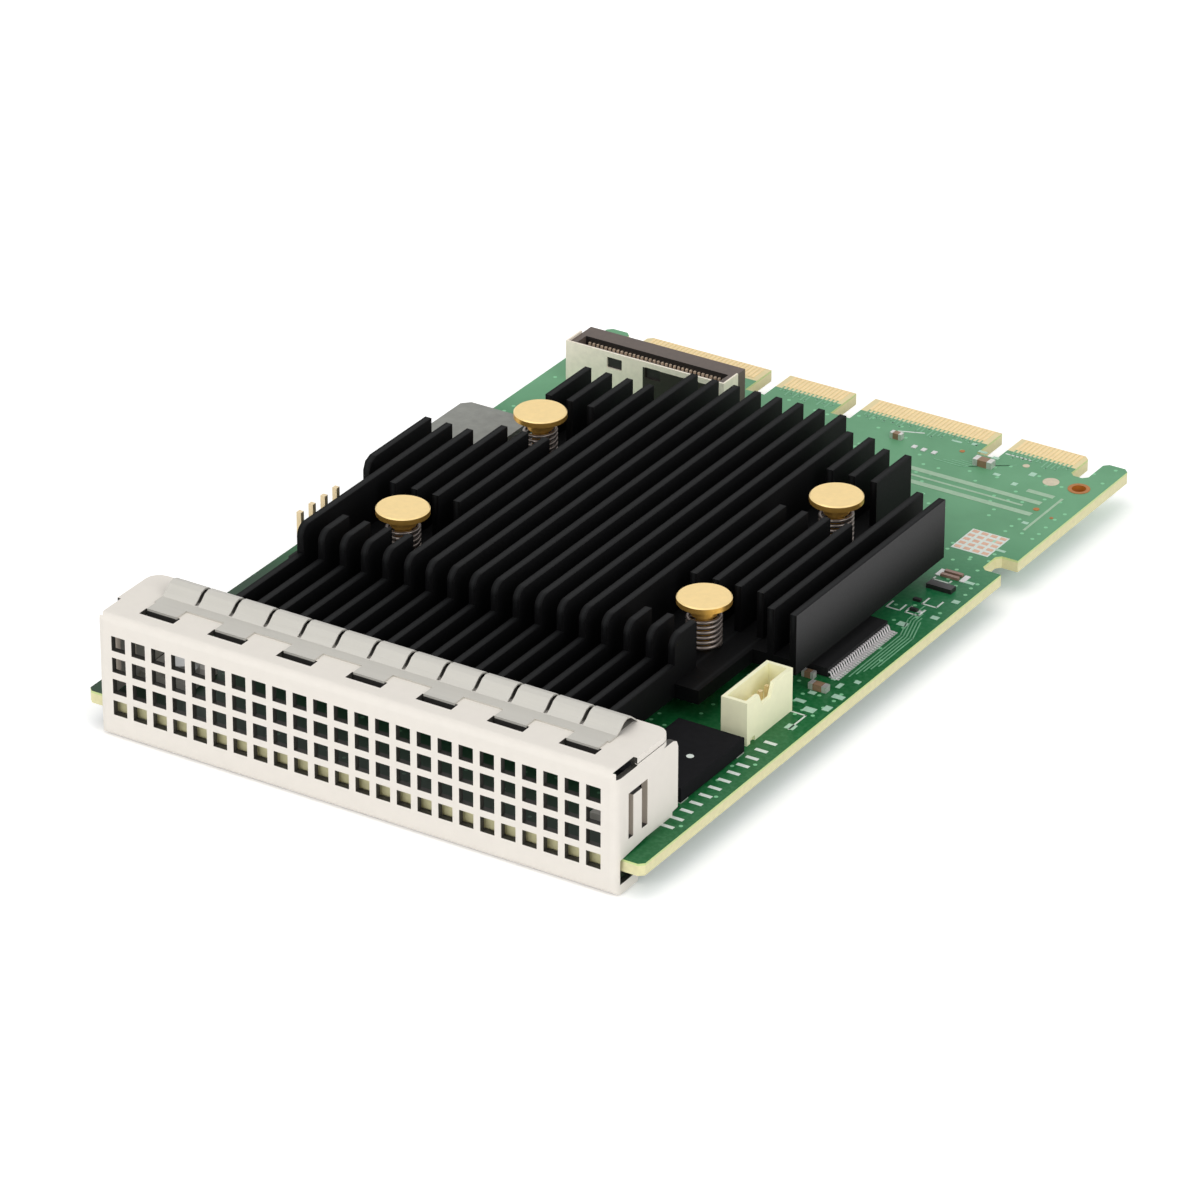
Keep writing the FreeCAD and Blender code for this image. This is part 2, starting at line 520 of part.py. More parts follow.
def make_faceplate():
    """Folded sheet with vents, slots, cut tongues, flanges and feet."""
    body = make_body("faceplate")
    half = "face_width/2"
    inner = "(face_width/2 - sheet_thick)"
    front = "-face_gap - sheet_thick"
    block = extrude(body, "face_block", "XZ", front, "side_depth",
                    [box(f"-{half}", half, "-foot_drop", "face_top")])
    fold = value(front)
    round_edges(body, "face_bends", block, "bend_radius", lambda point: near(point.y, fold))
    extrude(body, "face_top_trim", "YZ", f"-{half} - overlap", f"{half} + overlap",
            [[("top_depth", "side_top"), ("side_depth - side_round", "side_top"),
              ("side_depth - 0.3*side_round", "side_top - 0.3*side_round"),
              ("side_depth", "side_top - side_round"), ("side_depth + overlap", "side_top - side_round"),
              ("side_depth + overlap", "face_top + overlap"), ("top_depth", "face_top + overlap")]], cut=True)
    hollow = extrude(body, "face_hollow", "XZ", "-face_gap", "side_depth + overlap",
                     [box(f"-{inner}", inner, "-foot_drop + sheet_thick", "face_top - sheet_thick")], cut=True)
    deep = value("-face_gap")
    wall = value(inner)
    floor = value("-foot_drop + sheet_thick")
    roof = value("face_top - sheet_thick")
    round_edges(body, "face_inner_bends", hollow, "bend_inner",
                lambda point: near(point.y, deep) and (near(abs(point.x), wall) and
                                                       (near(point.z, floor) or near(point.z, roof))))
    extrude(body, "face_side_trim", "YZ", f"-{half} - overlap", f"{half} + overlap",
            [[("-face_gap", "-foot_drop + lip_high"), ("side_depth + overlap", "-foot_drop + lip_high"),
              ("side_depth + overlap", "side_rise"), ("side_depth", "side_rise"), ("-face_gap", "0")]], cut=True)
    extrude(body, "face_bottom_trim", "YZ", f"-{half} - overlap", f"{half} + overlap",
            [box("bottom_depth", "side_depth + overlap", "-foot_drop - overlap", "0")], cut=True)
    first = "-(vent_columns - 1)/2*vent_pitch"
    column = [box(f"{first} - vent_side/2", f"{first} + vent_side/2",
                  f"vent_low + {level}*vent_pitch - vent_side/2", f"vent_low + {level}*vent_pitch + vent_side/2")
              for level in range(int(value("vent_rows")))]
    vents = extrude(body, "face_vent_column", "XZ", f"{front} - overlap", "0", column, cut=True)
    repeat(body, "face_vents", vents, "vent_columns", "vent_pitch")
    slot = extrude(body, "face_slot", "XY", "face_top - sheet_thick - overlap", "face_top + overlap",
                   [box("-(tab_count - 1)*finger_step - slot_wide/2", "-(tab_count - 1)*finger_step + slot_wide/2",
                        "slot_front", "slot_rear")], cut=True)
    repeat(body, "face_slots", slot, "tab_count", "2*finger_step")
    for index, sign in enumerate(("-", ""), start=1):
        corner = [
            (f"{sign}({half} + overlap)", "top_depth - top_round"), (f"{sign}({half})", "top_depth - top_round"),
            (f"{sign}({half} - 0.08*top_round)", "top_depth - 0.6*top_round"),
            (f"{sign}({half} - 0.3*top_round)", "top_depth - 0.3*top_round"),
            (f"{sign}({half} - 0.6*top_round)", "top_depth - 0.08*top_round"),
            (f"{sign}({half} - top_round)", "top_depth"), (f"{sign}({half} - top_round)", "top_depth + overlap"),
            (f"{sign}({half} + overlap)", "top_depth + overlap"),
        ]
        extrude(body, f"face_corner{index}", "XY", "side_top", "face_top + overlap", [corner], cut=True)
        relief = [
            (f"{sign}({half} - relief_top)", "face_top"),
            (f"{sign}({half} - relief_top - sheet_thick)", "face_top - sheet_thick - 0.1*relief_side"),
            (f"{sign}({half} - relief_top - sheet_thick)", "face_top - 1.2*relief_side"),
            (f"{sign}({half})", "face_top - relief_side"),
            (f"{sign}({half} + overlap)", "face_top - relief_side"),
            (f"{sign}({half} + overlap)", "face_top + overlap"),
            (f"{sign}({half} - relief_top)", "face_top + overlap"),
        ]
        extrude(body, f"face_relief{index}", "XZ", "relief_front", "relief_rear", [relief], cut=True)
        far_x = f"{sign}({half} + overlap)"
        near_x = f"{sign}({half} - seam_deep)"
        low_x, high_x = (far_x, near_x) if sign else (near_x, far_x)
        extrude(body, f"face_seam{index}", "XZ", "relief_rear - face_gap", "top_depth + overlap",
                [box(low_x, high_x, "face_top - sheet_thick - seam_wide/2",
                     "face_top - sheet_thick + seam_wide/2")], cut=True)
        near_x = f"{sign}({inner} - overlap/2)"
        low_x, high_x = (far_x, near_x) if sign else (near_x, far_x)
        extrude(body, f"face_tongue{index}", "YZ", low_x, high_x,
                [[("tongue_front", "tongue_low"), ("tongue_front + cut_front", "tongue_low"),
                  ("tongue_front + cut_front", "tongue_high - cut_top"),
                  ("tongue_rear - cut_rear", "tongue_high - cut_top"),
                  ("tongue_rear - cut_rear", "tongue_low"), ("tongue_rear", "tongue_low"),
                  ("tongue_rear", "tongue_high"), ("tongue_front", "tongue_high")]], cut=True)
        near_x = f"{sign}foot_inner"
        far_x = f"{sign}({half} - sheet_thick/2)"
        low_x, high_x = (far_x, near_x) if sign else (near_x, far_x)
        extrude(body, f"face_foot{index}", "XY", "0", "sheet_thick",
                [box(low_x, high_x, "foot_front", "foot_rear"),
                 ("circle", f"{sign}screw_x", "screw_y", "screw_r + screw_clear")])


ARCH = [(0.0, 0.0), (0.26, 0.0), (0.38, 0.30), (0.52, 0.84), (0.64, 1.0), (0.77, 0.84), (0.90, 0.36), (1.0, 0.0)]


def make_finger_strip():
    """Arched spring strip, slit into fingers, with tabs hooked into the flange slots."""
    body = make_body("emi_finger_strip")
    reach = "(strip_rear - strip_front)"
    under = [(f"strip_front + {a}*{reach}", f"face_top + {b}*strip_rise") for a, b in ARCH]
    over = [(f"strip_front + {a}*{reach}", f"face_top + strip_thick + {b}*strip_rise") for a, b in reversed(ARCH)]
    extrude(body, "strip_arch", "YZ", "-strip_half", "strip_half", [under + over])
    slit = extrude(body, "strip_slit", "XY", "face_top - overlap", "face_top + strip_rise + overlap",
                   [box("-(slit_count - 1)/2*finger_step - slit_wide/2", "-(slit_count - 1)/2*finger_step + slit_wide/2",
                        "slit_start", "strip_rear + overlap")], cut=True)
    repeat(body, "strip_slits", slit, "slit_count", "finger_step")
    hook = [
        ("strip_front + overlap/4", "face_top + strip_thick"),
        ("tab_front", "face_top + strip_thick"),
        ("tab_front", "face_top - tab_drop"),
        ("tab_front + strip_thick", "face_top - tab_drop"),
        ("tab_front + strip_thick", "face_top"),
        ("strip_front + overlap/4", "face_top"),
    ]
    start = "-(tab_count - 1)*finger_step - tab_wide/2"
    tab = extrude(body, "strip_tab", "YZ", start, f"{start} + tab_wide", [hook])
    pattern = body.newObject("PartDesign::LinearPattern", "strip_tabs")
    pattern.Originals = [tab]
    pattern.Direction = ([item for item in body.Origin.OriginFeatures if item.Role == "X_Axis"][0], [""])
    pattern.Mode = "Spacing"
    pattern.setExpression("Offset", grow("2*finger_step"))
    pattern.setExpression("Occurrences", grow("tab_count"))
    body.Tip = pattern


def gap_x(k):
    """Return the x of the middle of the gap to the right of fin number k."""
    return f"({k} - fin_count/2)*fin_pitch"


def make_heatsink():
    """Base plate, low front fins and tall fins cut from outlines by one row of grooves."""
    body = make_body("heatsink")
    rim = "((fin_count - 1)/2*fin_pitch + fin_thick/2)"
    second = "((fin_count - 3)/2*fin_pitch + fin_thick/2)"
    third = "((fin_count - 7)/2*fin_pitch + fin_thick/2)"
    tall = [
        (gap_x(1), "tall_front"), (gap_x(19), "tall_front"), (gap_x(19), "pin_front_y - fr_ahead"),
        (gap_x(16), "pin_front_y - fr_ahead"), (gap_x(16), "pin_front_y + fr_behind"), (gap_x(20), "pin_front_y + fr_behind"),
        (gap_x(20), "side_front"), (rim, "side_front"), (rim, "side_rear"), (gap_x(20), "side_rear"),
        (gap_x(20), "pin_rear_y - rr_ahead"), (gap_x(16), "pin_rear_y - rr_ahead"), (gap_x(16), "pin_rear_y + rr_behind"),
        (gap_x(19), "pin_rear_y + rr_behind"), (gap_x(19), "rear_right"), (gap_x(17), "rear_right"),
        (gap_x(17), "rear_sixteen"), (gap_x(15), "rear_sixteen"), (gap_x(15), "rear_mid"),
        (gap_x(7), "rear_mid"), (gap_x(7), "rear_left"), (gap_x(3), "rear_left"),
        (gap_x(3), "pin_rear_y + rl_behind"), (gap_x(6), "pin_rear_y + rl_behind"), (gap_x(6), "pin_rear_y - rl_ahead"),
        (gap_x(3), "pin_rear_y - rl_ahead"), (gap_x(3), "left_rear"), (f"-{rim}", "left_rear"),
        (f"-{rim}", "left_front"), (gap_x(1), "left_front"),
    ]
    pocket = box(gap_x(2), gap_x(6), "pin_front_y - fl_ahead", "pin_front_y + fl_behind")
    block = extrude(body, "sink_tall", "XY", "sink_base", "sink_top", [tall, pocket])
    front = value("tall_front")
    crown = value("sink_top")
    round_edges(body, "sink_front_round", block, "tall_round",
                          lambda point: near(point.y, front) and near(point.z, crown))
    extrude(body, "sink_low", "XY", "sink_base", "sink_low",
            [box(gap_x(1), gap_x(19), "low_front", "tall_front + tall_round")])
    groove = extrude(body, "sink_groove", "XZ", "low_front - overlap", "cable_front",
                     [box("-(fin_count - 2)/2*fin_pitch - (fin_pitch - fin_thick)/2",
                          "-(fin_count - 2)/2*fin_pitch + (fin_pitch - fin_thick)/2",
                          "sink_base", "sink_top + overlap")], cut=True)
    repeat(body, "sink_grooves", groove, "fin_count - 1", "fin_pitch")
    extrude(body, "sink_left_slope", "YZ", f"-{rim} - overlap", gap_x(1),
            [[("left_front - overlap", "sink_top - left_round"), ("left_front", "sink_top - left_round"),
              ("left_front + 0.3*left_round", "sink_top - 0.3*left_round"), ("left_front + left_round", "sink_top"),
              ("left_front + left_round", "sink_top + overlap"), ("left_front - overlap", "sink_top + overlap")]],
            cut=True)
    base = [
        (f"-{second}", "low_front"), (third, "low_front"), (third, "tall_front"),
        ("base_right", "tall_front"), ("base_right", "side_front"), (rim, "side_front"),
        (rim, "side_rear"), ("base_right", "side_rear"), (third, "side_rear + overlap"), (third, "rear_right"),
        (gap_x(17), "rear_right"), (gap_x(17), "rear_sixteen"), (gap_x(15), "rear_sixteen"),
        (gap_x(15), "rear_mid"), (gap_x(7), "rear_mid"), (gap_x(7), "rear_left"), (gap_x(3), "rear_left"),
        (gap_x(3), "pin_rear_y + rl_behind"), ("-base_left", "pin_rear_y + rl_behind"), ("-base_left", "left_rear"),
        (f"-{rim}", "left_rear"), (f"-{rim}", "left_front"), (f"-{second}", "left_front"),
    ]
    holes = []
    for sign in ("-", ""):
        for pin_y in ("pin_front_y", "pin_rear_y"):
            holes.append(("circle", f"{sign}pin_x", pin_y, "pin_shaft_r + pin_clear"))
    extrude(body, "sink_plate", "XY", "sink_under", "sink_base", [base] + holes)


def make_push_pin(label, x, y):
    """Brass pin with a disc head, collar, shaft and barbed tip."""
    body = make_body(label, x, y)
    head_low = "pin_top - pin_head_thick"
    collar_low = "pin_top - pin_head_thick - pin_collar_long"
    turn(body, label + "_turned", [
        ("0", "-foot_drop"), ("barb_tip_r", "-foot_drop"), ("barb_r", "-board_thick - barb_long"),
        ("barb_r", "-board_thick"), ("pin_shaft_r", "-board_thick"), ("pin_shaft_r", collar_low),
        ("pin_collar_r", collar_low), ("pin_collar_r", head_low), ("pin_head_r", head_low),
        ("pin_head_r", "pin_top - pin_edge"), ("pin_head_r - pin_edge", "pin_top"), ("0", "pin_top"),
    ])


def make_spring(label, x, y):
    """Coil spring drawn as touching rings between the heatsink and the pin collar."""
    body = make_body(label, x, y)
    collar_low = "(pin_top - pin_head_thick - pin_collar_long)"
    pitch = f"({collar_low} - sink_base)/spring_turns"
    inside = "spring_r - spring_wire"
    seat = "pin_shaft_r + pin_clear"
    outline = [(seat, collar_low), (seat, f"{collar_low} - spring_wire/2"),
               (inside, f"{collar_low} - spring_wire/2"), (inside, "sink_base")]
    turns = int(value("spring_turns"))
    for i in range(turns):
        base = f"sink_base + {i}*{pitch}"
        outline += [(f"{inside} + 0.15", f"{base}"), ("spring_r", f"{base} + 0.3*{pitch}"),
                    ("spring_r", f"{base} + 0.7*{pitch}")]
    outline += [(f"{inside} + 0.15", collar_low)]
    turn(body, label + "_coil", outline)


def make_chip_stack():
    """Controller substrate, lid and the pad that carries heat to the heatsink."""
    for label, side, low, high in (("controller_substrate", "chip_side", "0", "chip_thick"),
                                   ("controller_lid", "lid_side", "chip_thick", "lid_top"),
                                   ("thermal_pad", "pad_side", "lid_top", "sink_under")):
        body = make_body(label, "0", "chip_y")
        extrude(body, label + "_slab", "XY", low, high,
                [box(f"-{side}/2", f"{side}/2", f"-{side}/2", f"{side}/2")])


def make_flash_chip():
    """Thin chip with a row of bent leads at each end."""
    body = make_body("flash_chip_body")
    extrude(body, "flash_slab", "XY", "flash_low", "flash_top",
            [box("flash_left", "flash_right", "flash_front", "flash_rear")])
    body = make_body("flash_chip_leads")
    for index, (edge, sign) in enumerate((("flash_left", "-"), ("flash_right", "+")), start=1):
        bend = f"{edge} {sign} (lead_reach - lead_foot)/2"
        foot = f"{edge} {sign} (lead_reach - lead_foot)"
        profile = [
            (edge, "lead_mid"), (edge, "lead_mid + lead_thick"), (bend, "lead_mid + lead_thick"),
            (foot, "lead_thick"), (f"{edge} {sign} lead_reach", "lead_thick"),
            (f"{edge} {sign} lead_reach", "0"), (f"{foot}", "0"), (bend, "lead_mid"),
        ]
        middle = "(flash_front + flash_rear)/2 - (lead_count - 1)/2*lead_pitch"
        lead = extrude(body, f"flash_lead{index}", "XZ", f"{middle} - lead_wide/2",
                       f"{middle} + lead_wide/2", [profile])
        pattern = body.newObject("PartDesign::LinearPattern", f"flash_leads{index}")
        pattern.Originals = [lead]
        pattern.Direction = ([item for item in body.Origin.OriginFeatures if item.Role == "Y_Axis"][0], [""])
        pattern.Mode = "Spacing"
        pattern.setExpression("Offset", grow("lead_pitch"))
        pattern.setExpression("Occurrences", grow("lead_count"))
        body.Tip = pattern


def make_power_inductor():
    """Flat block on two low terminals."""
    body = make_body("power_inductor")
    extrude(body, "block_slab", "XY", "block_foot", "block_top",
            [box("block_left", "block_right", "block_front", "block_rear")])
    body = make_body("power_inductor_terminals")
    loops = [
        box("block_left", "block_right", "block_front", "block_front + block_term"),
        box("block_left", "block_right", "block_rear - block_term", "block_rear"),
    ]
    extrude(body, "block_terms", "XY", "0", "block_foot", loops)


def make_grey_inductor():
    """Moulded inductor with cut corners and two wrapped terminals."""
    half = "coil_side/2"
    body = make_body("grey_inductor", "coil_x", "coil_y")
    outline = [
        (f"-{half} + coil_round", f"-{half}"), (f"{half} - coil_round", f"-{half}"),
        (half, f"-{half} + coil_round"), (half, f"{half} - coil_round"),
        (f"{half} - coil_round", half), (f"-{half} + coil_round", half),
        (f"-{half}", f"{half} - coil_round"), (f"-{half}", f"-{half} + coil_round"),
    ]
    extrude(body, "coil_slab", "XY", "coil_term_thick", "coil_top", [outline])
    body = make_body("grey_inductor_terminals", "coil_x", "coil_y")
    for index, sign in enumerate(("-", ""), start=1):
        near_y = f"{sign}({half} - coil_term_high)"
        wall_y = f"{sign}({half})"
        far_y = f"{sign}({half} + coil_term_thick)"
        low_y, high_y = (far_y, near_y) if sign else (near_y, far_y)
        extrude(body, f"coil_foot{index}", "XY", "0", "coil_term_thick",
                [box("-coil_term_wide/2", "coil_term_wide/2", low_y, high_y)])
        low_y, high_y = (far_y, wall_y) if sign else (wall_y, far_y)
        extrude(body, f"coil_wrap{index}", "XY", "0", "coil_term_high",
                [box("-coil_term_wide/2", "coil_term_wide/2", low_y, high_y)])


def make_cable_connector():
    """Housing with a plug slot, metal shell with windows, and two rows of contacts."""
    body = make_body("cable_connector_housing")
    extrude(body, "cable_block", "XY", "0", "cable_top",
            [box("cable_left", "cable_right", "cable_front", "cable_rear")])
    extrude(body, "cable_pocket", "XY", "cable_floor", "cable_top + overlap",
            [box("cable_left + cable_wall", "cable_right - cable_wall", "slot_low_y", "slot_high_y")],
            cut=True)
    body = make_body("cable_connector_shell")
    out_left = "cable_left - shell_thick"
    out_right = "cable_right + shell_thick"
    out_front = "cable_front - shell_thick"
    wing = "cable_front + shell_wing"
    extrude(body, "shell_wrap", "XY", "0", "shell_top", [[
        (out_left, out_front), (out_right, out_front), (out_right, wing), ("cable_right", wing),
        ("cable_right", "cable_front"), ("cable_left", "cable_front"), ("cable_left", wing), (out_left, wing),
    ]])
    window = extrude(body, "shell_window", "XZ", f"{out_front} - overlap", "cable_front + overlap/10",
                     [box("cable_left + window_start", "cable_left + window_start + window_wide",
                          "window_low", "window_high")], cut=True)
    repeat(body, "shell_windows", window, "window_count", "window_pitch")
    body = make_body("cable_connector_contacts")
    middle = "(cable_left + cable_right)/2 - (blade_count - 1)/2*blade_pitch"
    for index, (low_y, high_y) in enumerate((("slot_low_y", "slot_low_y + blade_thick"),
                                             ("slot_high_y - blade_thick", "slot_high_y")), start=1):
        blade = extrude(body, f"blade{index}", "XY", "cable_floor", "blade_top",
                        [box(f"{middle} - blade_wide/2", f"{middle} + blade_wide/2", low_y, high_y)])
        repeat(body, f"blades{index}", blade, "blade_count", "blade_pitch")


def make_battery_header():
    """Cream open header with a notched right wall and a row of six pins."""
    body = make_body("battery_header_housing")
    extrude(body, "head_block", "XY", "0", "head_top",
            [box("head_left", "head_right", "head_front", "head_rear")])
    extrude(body, "head_hollow", "XY", "head_floor", "head_top + overlap",
            [box("head_left + head_wall", "head_right - head_wall", "head_front + head_wall",
                 "head_rear - head_wall")], cut=True)
    low_y = "head_front + notch_ahead + (notch_long - notch_flat)/2"
    extrude(body, "head_notch", "YZ", "head_right - head_wall - overlap/2", "head_right + overlap",
            [[("head_front + notch_ahead", "head_top + overlap"), ("head_front + notch_ahead", "head_top"),
              (low_y, "notch_low"), (f"{low_y} + notch_flat", "notch_low"),
              ("head_front + notch_ahead + notch_long", "head_top"),
              ("head_front + notch_ahead + notch_long", "head_top + overlap")]], cut=True)
    extrude(body, "head_recess", "YZ", "head_right - head_recess", "head_right + overlap",
                     [box("head_front + head_pitch/2", "head_front + head_pitch*1.2", "0", "head_recess*2")], cut=True)
    body = make_body("battery_header_pins")
    middle = "(head_front + head_rear)/2 - (head_pins - 1)/2*head_pitch"
    across = "(head_left + head_right)/2"
    pin = extrude(body, "head_pin", "XY", "head_floor", "head_pin_top",
                  [box(f"{across} - head_pin_side/2", f"{across} + head_pin_side/2",
                       f"{middle} - head_pin_side/2", f"{middle} + head_pin_side/2")])
    repeat(body, "head_pins_row", pin, "head_pins", "head_pitch", "V_Axis")


def make_jumper_header():
    """Four-pin header with a scored base."""
    first = "-(jump_pins - 1)/2*jump_pitch"
    body = make_body("jumper_header_base", "jump_x", "jump_y")
    cell = [
        ("-jump_base/2 + jump_score", f"{first} - jump_pitch/2"), ("jump_base/2 - jump_score", f"{first} - jump_pitch/2"),
        ("jump_base/2", f"{first} - jump_pitch/2 + jump_score"), ("jump_base/2", f"{first} + jump_pitch/2 - jump_score"),
        ("jump_base/2 - jump_score", f"{first} + jump_pitch/2"), ("-jump_base/2 + jump_score", f"{first} + jump_pitch/2"),
        ("-jump_base/2", f"{first} + jump_pitch/2 - jump_score"), ("-jump_base/2", f"{first} - jump_pitch/2 + jump_score"),
    ]
    hole = box("-jump_pin_side/2", "jump_pin_side/2", f"{first} - jump_pin_side/2", f"{first} + jump_pin_side/2")
    pad = extrude(body, "jump_cell", "XY", "0", "jump_base", [cell, hole])
    repeat(body, "jump_cells", pad, "jump_pins", "jump_pitch", "V_Axis")
    body = make_body("jumper_header_pins", "jump_x", "jump_y")
    pin = extrude(body, "jump_pin", "XY", "0", "jump_pin_top", [hole])
    repeat(body, "jump_pins_row", pin, "jump_pins", "jump_pitch", "V_Axis")


def make_fixings():
    """Screws and hexagonal nuts that hold the faceplate feet on the board."""
    for side, x in (("left", "-screw_x"), ("right", "screw_x")):
        body = make_body(f"bracket_screw_{side}", x, "screw_y")
        turn(body, f"screw_{side}_turned", [
            ("0", "-board_thick - nut_thick"), ("screw_r", "-board_thick - nut_thick"),
            ("screw_r", "sheet_thick"), ("screw_head_r", "sheet_thick"),
            ("screw_head_r", "sheet_thick + screw_head*0.6"), ("screw_head_r*0.7", "sheet_thick + screw_head"),
            ("0", "sheet_thick + screw_head"),
        ])
        body = make_body(f"bracket_nut_{side}", x, "screw_y")
        corners = [(1, 0), (0.5, 0.866025), (-0.5, 0.866025), (-1, 0), (-0.5, -0.866025), (0.5, -0.866025)]
        hexagon = [(f"{a}*nut_flats/1.73205", f"{b}*nut_flats/1.73205") for a, b in corners]
        extrude(body, f"nut_{side}_ring", "XY", "-board_thick - nut_thick", "-board_thick",
                [hexagon, ("circle", "0", "0", "screw_r")])


CAPACITORS = [
    ("half_width - 28.8", "board_length - 8.2", 1.6, 0.8, 0.8),
    ("half_width - 15.9", "board_length - 9.0", 2.6, 1.2, 0.9),
    ("half_width - 6.6", "flash_front - 0.9", 1.6, 0.8, 0.8),
    ("half_width - 4.0", "flash_front - 3.0", 2.4, 1.0, 0.8),
    ("3.4 - half_width", "coil_y - 7.5", 1.6, 0.8, 0.8),
    ("3.4 - half_width", "coil_y - 9.7", 1.6, 0.8, 0.8),
    ("7.5 - half_width", "coil_y + 9.0", 2.0, 1.25, 0.9),
    ("7.5 - half_width", "coil_y + 12.0", 2.0, 1.25, 0.9),
]
RESISTORS = [
    ("half_width - 4.3", "flash_rear + 12.3", 3.4, 1.25, 0.6),
    ("half_width - 4.8", "flash_rear + 16.4", 2.4, 0.5, 0.35),
    ("half_width - 4.8", "flash_rear + 15.4", 2.4, 0.5, 0.35),
    ("half_width - 4.3", "flash_rear + 5.8", 1.0, 0.5, 0.35),
    ("half_width - 5.2", "flash_rear + 8.2", 1.0, 0.5, 0.35),
    ("half_width - 8.6", "flash_front - 4.2", 1.0, 0.5, 0.35),
    ("13.5 - half_width", "cable_front - 4.85", 1.6, 0.8, 0.45),
]


def make_small_parts():
    """Chip capacitors with metal ends, chip resistors and the ring of the plated hole."""
    for label, rows, share in (("chip_capacitors", CAPACITORS, 0.5), ("chip_resistors", RESISTORS, 1.0)):
        body = make_body(label)
        for index, (x, y, long, wide, high) in enumerate(rows, start=1):
            half = long / 2 * share
            extrude(body, f"{label}{index}", "XY", "0", high,
                    [box(f"{x} - {half}", f"{x} + {half}", f"{y} - {wide / 2}", f"{y} + {wide / 2}")])
    body = make_body("chip_capacitor_ends")
    for index, (x, y, long, wide, high) in enumerate(CAPACITORS, start=1):
        ends = [
            box(f"{x} - {long / 2}", f"{x} - {long / 4}", f"{y} - {wide / 2}", f"{y} + {wide / 2}"),
            box(f"{x} + {long / 4}", f"{x} + {long / 2}", f"{y} - {wide / 2}", f"{y} + {wide / 2}"),
        ]
        extrude(body, f"cap_ends{index}", "XY", "0", high, ends)
    body = make_body("hole_ring")
    extrude(body, "ring_plate", "XY", "0", "ring_thick",
            [("circle", "tool_hole_x", "tool_hole_y", "ring_r"),
             ("circle", "tool_hole_x", "tool_hole_y", "tool_hole_r")])


def check(body):
    """Stop when a feature failed, a cut added material or a pad removed some."""
    before = 0.0
    for item in body.Group:
        if any(word in state for state in item.State for word in ("Invalid", "Error")):
            raise RuntimeError(f"{body.Label}: {item.Name} is {item.State}")
        if item.isDerivedFrom("PartDesign::Feature"):
            volume = item.Shape.Volume
            kind = item.Originals[0].TypeId if "Pattern" in item.TypeId else item.TypeId
            if kind == "PartDesign::Pocket" and volume >= before:
                raise RuntimeError(f"{body.Label}: {item.Name} cut nothing")
            if kind == "PartDesign::Pad" and volume <= before:
                raise RuntimeError(f"{body.Label}: {item.Name} added nothing")
            before = volume
    if body.Shape.isNull() or not body.Shape.isValid():
        raise RuntimeError(f"{body.Label}: bad shape")


make_board()
make_edge_fingers("edge_fingers_top", "0", "finger_thick")
make_edge_fingers("edge_fingers_bottom", "-board_thick - finger_thick", "-board_thick")
make_faceplate()
make_finger_strip()
make_heatsink()
make_chip_stack()
for front_rear, pin_y in (("front", "pin_front_y"), ("rear", "pin_rear_y")):
    for left_right, pin_x in (("left", "-pin_x"), ("right", "pin_x")):
        make_push_pin(f"push_pin_{front_rear}_{left_right}", pin_x, pin_y)
        make_spring(f"pin_spring_{front_rear}_{left_right}", pin_x, pin_y)
make_flash_chip()
make_power_inductor()
make_grey_inductor()
make_cable_connector()
make_battery_header()
make_jumper_header()
make_fixings()
make_small_parts()
doc.recompute()

os.makedirs("parts", exist_ok=True)
for part in PARTS:
    check(part)
for part in PARTS:
    part.Shape.exportStep(f"parts/{part.Label}.step")
print(len(PARTS), "sub-parts written")
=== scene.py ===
"""Dress the controller card: board artwork, folded faceplate, springs, connectors, studio and camera.

The CAD nodes give every solid its place. This script adds what is too fine for the solids, such as
copper tracks, pads and coil springs, and gives every surface a procedural finish.
"""

from __future__ import annotations

import json
import logging
import math
import random
from dataclasses import dataclass, field, replace
from enum import Enum
from functools import reduce
from typing import Sequence

import bpy
from mathutils import Matrix, Vector

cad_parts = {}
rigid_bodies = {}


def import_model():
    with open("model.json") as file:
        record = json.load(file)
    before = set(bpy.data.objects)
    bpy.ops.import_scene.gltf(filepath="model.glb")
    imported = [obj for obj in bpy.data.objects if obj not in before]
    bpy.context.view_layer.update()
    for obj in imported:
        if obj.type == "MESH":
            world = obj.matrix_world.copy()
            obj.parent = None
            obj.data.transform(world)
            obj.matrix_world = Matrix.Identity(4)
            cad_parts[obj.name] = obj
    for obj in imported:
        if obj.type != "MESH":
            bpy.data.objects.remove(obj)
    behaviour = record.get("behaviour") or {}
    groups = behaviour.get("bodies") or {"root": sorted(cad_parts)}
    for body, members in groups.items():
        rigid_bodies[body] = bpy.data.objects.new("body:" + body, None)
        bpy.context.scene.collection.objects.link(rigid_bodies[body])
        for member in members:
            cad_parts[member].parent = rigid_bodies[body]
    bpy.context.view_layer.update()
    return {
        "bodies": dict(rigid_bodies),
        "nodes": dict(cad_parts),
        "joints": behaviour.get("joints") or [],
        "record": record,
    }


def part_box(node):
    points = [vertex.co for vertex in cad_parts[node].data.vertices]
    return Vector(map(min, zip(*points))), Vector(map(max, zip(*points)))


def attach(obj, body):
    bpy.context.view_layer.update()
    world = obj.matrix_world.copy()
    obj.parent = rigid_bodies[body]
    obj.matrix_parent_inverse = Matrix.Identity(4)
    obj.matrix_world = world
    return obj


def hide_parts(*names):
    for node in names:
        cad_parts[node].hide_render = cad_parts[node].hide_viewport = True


LOG = logging.getLogger("card")
MM = 0.001
# Settings that the finishes share. A face that turns to an axis by less than SIDE_ON runs beside it.
FINE_DETAIL = 4.0
UNEVEN = 0.06
LEAST_ROUGHNESS = 0.02
BUMP_GAIN = 6.0
SIDE_ON = 0.5
